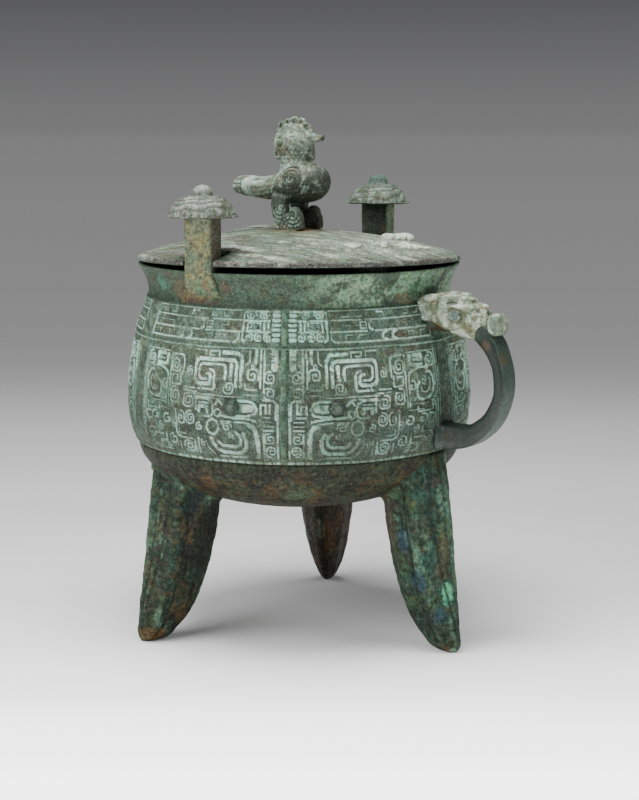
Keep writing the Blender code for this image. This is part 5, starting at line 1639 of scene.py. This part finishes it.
def paint_bird(mesh, cut):
    points, normals = surface(mesh)
    x = points[:, 0]
    z = points[:, 2] - LID_TOP
    paint = Paint(points, mix(MINT, GREY, 0.45))
    paint.mottle(mix(WHITE, MINT, 0.4), 5.0, 321, 0.05, 0.4, 0.7)
    paint.mottle(mix(SEA, MOSS, 0.5), 5.0, 322, 0.1, 0.35, 0.7)
    paint.mottle(mix(OLIVE, BROWN, 0.4), 4.0, 323, 0.25, 0.3, 0.6)
    paint.mottle(DARK, 2.4, 325, 0.35, 0.3, 0.65)
    # Painted shade: the breast and belly, below a tilted line, are painted almost black-green, with olive
    # above
    shade = 38 + 0.45 * x + 4 * noise(points, 8.0, 324) - z
    above = smooth((shade + 6) / 8) * smooth((x + 34) / 10) * smooth((z - 16) / 2)
    paint.layer(mix(OLIVE, UMBER, 0.4), above * 0.6)
    paint.layer(mix(DARK, SEA, 0.1), smooth(shade / 7) * smooth((x + 28) / 14) * smooth((z - 16) / 2) * 0.92)
    spots = specks(points, 3.0, 331, 0.3)
    paint.layer(mix(MINT, WHITE, 0.3), spots * smooth((z - 20) / 3) * 0.5)
    tail = smooth((-30 - x) / 8) * smooth((z - 19) / 2)
    paint.layer(mix(WHITE, MINT, 0.5), tail * smooth(0.5 + noise(points, 6.0, 326)) * 0.6)
    legs = smooth((17 - z) / 2)
    paint.layer(mix(TEAL, MINT, 0.45), legs * 0.6)
    paint.layer(mix(UMBER, DARK, 0.5), legs * (points[:, 1] > 0) * 0.9)
    # Painted shade on the legs' faces turned towards the handle
    paint.layer(mix(UMBER, DARK, 0.5), legs * (normals[:, 0] > 0.4) * 0.7)
    paint.layer(mix(RUST, OLIVE, 0.4), smooth((4 - z) / 3) * specks(points, 4.0, 327, -0.1) * 0.7)
    paint.patch(mix(BROWN, OLIVE, 0.4), (-6, -11, LID_TOP + 53), (5, 6, 3.4), 332, 0.7)
    round_head = np.hypot(x - BIRD_HEAD[0], z - BIRD_HEAD[1])
    comb = smooth((round_head - 13.4) / 0.8) * (z > 46)
    paint.layer(mix(BROWN, SEA, 0.5), comb * smooth(0.55 + noise(points, 3.0, 328)) * 0.85)
    paint.layer(DARK, smooth((x - 18.6) / 1.2) * (z > 50) * 0.85)
    paint.layer(mix(DARK, UMBER, 0.3), np.clip(cut * 1.5, 0, 1) * 0.88)
    return paint.rgb


# Materials

def add_node(tree, kind, **values):
    node = tree.nodes.new(kind)
    for name, value in values.items():
        if hasattr(node, name):
            setattr(node, name, value)
        else:
            node.inputs[name].default_value = value
    return node


def span_node(tree, value, low, high, first=0.0, last=1.0, kind='LINEAR'):
    """A value's run from low to high, spread over first to last."""
    node = add_node(tree, "ShaderNodeMapRange", interpolation_type=kind)
    tree.links.new(value, node.inputs["Value"])
    for name, number in (("From Min", low), ("From Max", high), ("To Min", first), ("To Max", last)):
        node.inputs[name].default_value = number
    return node.outputs["Result"]


def patina(name, grain, contrast, smoothest, roughest, bump, mint, dark, brown, shine, streaks=None):
    """Corroded bronze: the painted colours, broken up by grain, mint specks, dark pits and brown bloom."""
    made = bpy.data.materials.new(name)
    made.use_nodes = True
    tree = made.node_tree
    link = tree.links.new
    shader = tree.nodes["Principled BSDF"]
    place = add_node(tree, "ShaderNodeTexCoord").outputs["Object"]
    painted = add_node(tree, "ShaderNodeAttribute", attribute_name="patina").outputs["Color"]

    def speckle(size, detail, stretch=None):
        node = add_node(tree, "ShaderNodeTexNoise", Scale=1 / (size * MM), Detail=detail, Roughness=0.68)
        source = place
        if stretch:
            turn = add_node(tree, "ShaderNodeMapping")
            turn.inputs["Rotation"].default_value = (0, 0, stretch[0])
            turn.inputs["Scale"].default_value = (stretch[1], 1, 1)
            link(place, turn.inputs["Vector"])
            source = turn.outputs["Vector"]
        link(source, node.inputs["Vector"])
        return node.outputs["Fac"]

    def ramp(value, low, high, first=(0, 0, 0, 1), second=(1, 1, 1, 1)):
        node = add_node(tree, "ShaderNodeValToRGB")
        node.color_ramp.elements[0].position = low
        node.color_ramp.elements[1].position = high
        node.color_ramp.elements[0].color = first
        node.color_ramp.elements[1].color = second
        link(value, node.inputs["Fac"])
        return node.outputs["Color"]

    def blend(kind, factor, first, second):
        node = add_node(tree, "ShaderNodeMix", data_type='RGBA', blend_type=kind)
        sockets = [s for s in node.inputs if s.enabled]
        for value, socket in zip((factor, first, second), sockets):
            if isinstance(value, bpy.types.NodeSocket):
                link(value, socket)
            else:
                socket.default_value = value
        return [s for s in node.outputs if s.enabled][0]

    def weighed(mask, most):
        return blend('MULTIPLY', 1.0, mask, (most, most, most, 1))

    fine = speckle(grain, 7.0)
    finer = speckle(grain * 0.4, 5.0)
    broad = speckle(grain * 3.2, 6.0)
    low, high = 1 - contrast, 1 + contrast
    tone = blend('MULTIPLY', 1.0, painted, ramp(fine, 0.30, 0.70, (low, low, low, 1), (high, high, high, 1)))
    tone = blend('MULTIPLY', 1.0, tone, ramp(broad, 0.36, 0.64, (1.16, 0.99, 0.84, 1), (0.80, 1.02, 1.04, 1)))
    tone = blend('MIX', weighed(ramp(broad, 0.56, 0.66), brown), tone, (*BLOOM, 1))
    tone = blend('MIX', weighed(ramp(finer, 0.58, 0.64), mint), tone, (*SPECKS, 1))
    pitted = ramp(speckle(grain * 1.3, 6.0, (0.7, 1.0)), 0.57, 0.65)
    tone = blend('MIX', weighed(pitted, dark), tone, (*PITS, 1))
    if streaks:
        lines = speckle(grain * 0.9, 4.0, streaks)
        brushed = ramp(lines, 0.36, 0.62, (0.52, 0.48, 0.44, 1), (1.24, 1.26, 1.24, 1))
        tone = blend('MULTIPLY', 1.0, tone, brushed)
    link(tone, shader.inputs["Base Color"])
    link(span_node(tree, fine, 0.3, 0.7, roughest, smoothest), shader.inputs["Roughness"])
    lumps = add_node(tree, "ShaderNodeBump", Distance=bump * MM, Strength=1.0)
    link(fine, lumps.inputs["Height"])
    pits = add_node(tree, "ShaderNodeBump", Distance=bump * 0.4 * MM, Strength=1.0)
    link(finer, pits.inputs["Height"])
    link(lumps.outputs["Normal"], pits.inputs["Normal"])
    link(pits.outputs["Normal"], shader.inputs["Normal"])
    shader.inputs["Metallic"].default_value = 0.05
    shader.inputs["Specular IOR Level"].default_value = shine
    return made


def finish_piece(name, mesh, rgb, material, depth):
    """Hands over a piece with its painted colours, made deeper by shares of red, green and blue."""
    mesh.name = name
    rgb = np.clip(rgb * np.array(depth), 0, 1)
    colours = mesh.attributes.new("patina", 'FLOAT_COLOR', 'POINT')
    rgba = np.concatenate([rgb, np.ones((len(rgb), 1))], 1)
    colours.data.foreach_set("color", rgba.astype(np.float32).ravel())
    mesh.materials.clear()
    mesh.materials.append(material)
    obj = placed(name, mesh)
    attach(obj, "root")
    return obj


# Room, light and camera

CAMERA_AZIMUTH = math.radians(34.21)
CAMERA_PITCH = math.radians(-9.49)
CAMERA_PLACE = (0.67692 + AXIS_X * MM, -0.97087, 0.35625)
LENS = 77.74
ROOM_LOW = colour(120, 120, 121)
ROOM_HIGH = colour(88, 88, 90)
ROOM_HORIZON = 0.07

# By metres behind the vessel: how pale the floor's paper is, painted darker with distance as painted light
# falloff, how much light is added in front of the vessel, and the painted light that the floor gives off
# further back
FLOOR_PAPER_AND_FALLOFF = ((-0.5, 0.90), (-0.15, 0.88), (0.1, 0.66), (0.4, 0.51), (0.7, 0.44), (1.1, 0.40), (1.5, 0.38))
FLOOR_GLOW = ((-0.5, 0.66), (-0.3, 0.56), (-0.22, 0.34), (-0.12, 0.08), (-0.02, 0.01), (0.1, 0.0))
FLOOR_FAR = ((0.5, 0.45), (0.89, 0.36), (1.26, 0.305), (1.8, 0.275), (2.6, 0.254), (4.6, 0.240), (9.0, 0.225),
             (40.0, 0.19))
FLOOR_FADE = (0.6, 1.6)
GLOW_STRENGTH = 4.5
# From here on sideways, too, the floor counts as behind the vessel
FLOOR_SIDES = 0.9

# Lamps as the viewer sees them: metres to the right, towards the viewer and up, width, watts
LAMPS = {
    "key": (-1.35, 0.85, 1.15, 1.5, 38),
    "fill": (1.6, 0.6, 0.9, 1.2, 14),
    "top": (-0.1, 0.15, 1.6, 1.0, 45),
}
LAMPS_AIM = (0, 0, 0.15)


def plain_material(name, tone, roughness):
    made = bpy.data.materials.new(name)
    made.use_nodes = True
    shader = made.node_tree.nodes["Principled BSDF"]
    shader.inputs["Base Color"].default_value = (*tone, 1)
    shader.inputs["Roughness"].default_value = roughness
    return made


def make_floor():
    """A pale floor that darkens with distance and goes over into the grey of the room behind it."""
    mesh = bpy.data.meshes.new("floor")
    reach = 150.0
    corners = [(-reach, -reach, 0), (reach, -reach, 0), (reach, reach, 0), (-reach, reach, 0)]
    mesh.from_pydata(corners, [], [(0, 1, 2, 3)])
    obj = placed("floor", mesh)
    made = plain_material("floor_paper", (0.8, 0.8, 0.8), 0.9)
    tree = made.node_tree
    link = tree.links.new
    shader = tree.nodes["Principled BSDF"]
    shader.inputs["Specular IOR Level"].default_value = 0.0
    place = add_node(tree, "ShaderNodeTexCoord").outputs["Object"]
    # Metres behind the vessel, on the side that the photographer's lamps don't reach
    along = add_node(tree, "ShaderNodeVectorMath", operation='DOT_PRODUCT')
    link(place, along.inputs[0])
    along.inputs[1].default_value = (-math.sin(CAMERA_AZIMUTH), math.cos(CAMERA_AZIMUTH), 0)
    away = add_node(tree, "ShaderNodeVectorMath", operation='LENGTH')
    link(place, away.inputs[0])
    past = add_node(tree, "ShaderNodeMath", operation='SUBTRACT')
    link(away.outputs["Value"], past.inputs[0])
    past.inputs[1].default_value = FLOOR_SIDES
    behind = add_node(tree, "ShaderNodeMath", operation='MAXIMUM')
    link(along.outputs["Value"], behind.inputs[0])
    link(past.outputs[0], behind.inputs[1])

    def graded(start, end, stops):
        ramp = add_node(tree, "ShaderNodeValToRGB")
        ramp.color_ramp.interpolation = 'EASE'
        elements = ramp.color_ramp.elements
        while len(elements) < len(stops):
            elements.new(0.5)
        for element, (metres, value) in zip(elements, stops):
            element.position = (metres - start) / (end - start)
            element.color = (value, value, value, 1)
        link(span_node(tree, behind.outputs[0], start, end), ramp.inputs["Fac"])
        return ramp.outputs["Color"]

    # The paper is painted darker with distance, as painted light falloff
    link(graded(-0.5, 1.5, FLOOR_PAPER_AND_FALLOFF), shader.inputs["Base Color"])
    lift = add_node(tree, "ShaderNodeEmission", Strength=GLOW_STRENGTH)
    link(graded(-0.5, 1.5, FLOOR_GLOW), lift.inputs["Color"])
    lifted = add_node(tree, "ShaderNodeAddShader")
    link(shader.outputs[0], lifted.inputs[0])
    link(lift.outputs[0], lifted.inputs[1])
    # Further back the floor glows: painted light
    glow = add_node(tree, "ShaderNodeEmission")
    link(graded(0.5, 40.0, FLOOR_FAR), glow.inputs["Color"])
    blend = add_node(tree, "ShaderNodeMixShader")
    link(span_node(tree, behind.outputs[0], *FLOOR_FADE, kind='SMOOTHSTEP'), blend.inputs[0])
    link(lifted.outputs[0], blend.inputs[1])
    link(glow.outputs[0], blend.inputs[2])
    link(blend.outputs[0], tree.nodes["Material Output"].inputs["Surface"])
    mesh.materials.append(made)


def make_room():
    world = bpy.data.worlds.new("room")
    bpy.context.scene.world = world
    world.use_nodes = True
    tree = world.node_tree
    link = tree.links.new
    place = add_node(tree, "ShaderNodeTexCoord").outputs["Generated"]
    split = add_node(tree, "ShaderNodeSeparateXYZ")
    link(place, split.inputs[0])
    mixer = add_node(tree, "ShaderNodeMix", data_type='RGBA')
    sockets = [s for s in mixer.inputs if s.enabled]
    link(span_node(tree, split.outputs["Z"], 0.0, ROOM_HORIZON), sockets[0])
    sockets[1].default_value = (*ROOM_LOW, 1)
    sockets[2].default_value = (*ROOM_HIGH, 1)
    background = tree.nodes["Background"]
    link([s for s in mixer.outputs if s.enabled][0], background.inputs["Color"])


def add_light(name, place, target, size, power):
    data = bpy.data.lights.new(name, 'AREA')
    data.shape = 'DISK'
    data.size = size
    data.energy = power
    obj = placed(name, data)
    obj.location = place
    obj.rotation_euler = direction_angles(np.array(target) - np.array(place))


def direction_angles(direction):
    """Turns that point a lamp's -Z along a direction."""
    x, y, z = direction
    return (math.atan2(math.hypot(x, y), -z), 0.0, math.atan2(-x, y))


def make_camera():
    data = bpy.data.cameras.new("camera")
    data.lens = LENS
    data.sensor_width = 36.0
    data.clip_start = 0.05
    data.clip_end = 100
    obj = placed("camera", data)
    obj.location = CAMERA_PLACE
    obj.rotation_euler = (math.pi / 2 + CAMERA_PITCH, 0.0, CAMERA_AZIMUTH)
    bpy.context.scene.camera = obj


def make_lamps():
    right = np.array((math.cos(CAMERA_AZIMUTH), math.sin(CAMERA_AZIMUTH), 0))
    near = np.array((math.sin(CAMERA_AZIMUTH), -math.cos(CAMERA_AZIMUTH), 0))
    up = np.array((0, 0, 1.0))
    for name, (sideways, nearer, high, size, power) in LAMPS.items():
        add_light(name, right * sideways + near * nearer + up * high, LAMPS_AIM, size, power)


# Assembly

def main():
    materials = {name: patina(name, *settings) for name, settings in PATINAS.items()}
    dressed = {"vessel": [], "lid": []}

    def hand_over(node, name, mesh, rgb, material, depth):
        dressed[node].append(finish_piece(name, mesh, rgb, materials[material], DEPTHS[depth]))

    for mask, name in enumerate(("bands_front", "bands_handle_side", "bands_back")):
        mesh, keep = make_panel(mask)
        hand_over("vessel", name, mesh, paint_bands(mesh, keep), "band_patina", "bands")
    mesh = make_neck()
    hand_over("vessel", "neck_and_rim", mesh, paint_neck(mesh), "green_patina", "neck")
    mesh = make_base()
    hand_over("vessel", "round_base", mesh, paint_base(mesh), "rough_patina", "base")
    for k, name in enumerate(("leg_under_handle", "leg_back", "leg_front")):
        mesh, crease = make_leg(k)
        hand_over("vessel", name, mesh, paint_leg(mesh, k, crease), "rough_patina", name)
    mesh = make_handle()
    hand_over("vessel", "handle_loop", mesh, paint_handle(mesh), "smooth_patina", "handle")
    mesh, cut = make_head()
    hand_over("vessel", "animal_head", mesh, paint_head(mesh, cut), "pale_patina", "head")
    for side, name in ((-1, "front"), (1, "back")):
        mesh = make_post(side)
        hand_over("vessel", "post_" + name, mesh, paint_post(mesh, side), "green_patina", "posts")
        mesh = make_cap(side)
        cap = "post_cap_" + name
        hand_over("vessel", cap, mesh, paint_cap(mesh, side), "pale_patina", cap)
    mesh = make_lid()
    hand_over("lid", "lid_plate", mesh, paint_lid(mesh), "lid_patina", "lid")
    mesh = make_crust()
    hand_over("lid", "lid_crust", mesh, paint_crust(mesh), "pale_patina", "crust")
    mesh, cut = make_bird()
    hand_over("lid", "lid_bird", mesh, paint_bird(mesh, cut), "pale_patina", "bird")
    for node, pieces in dressed.items():
        for piece in pieces:
            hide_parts(node)
    make_floor()
    make_room()
    make_camera()
    make_lamps()


main()
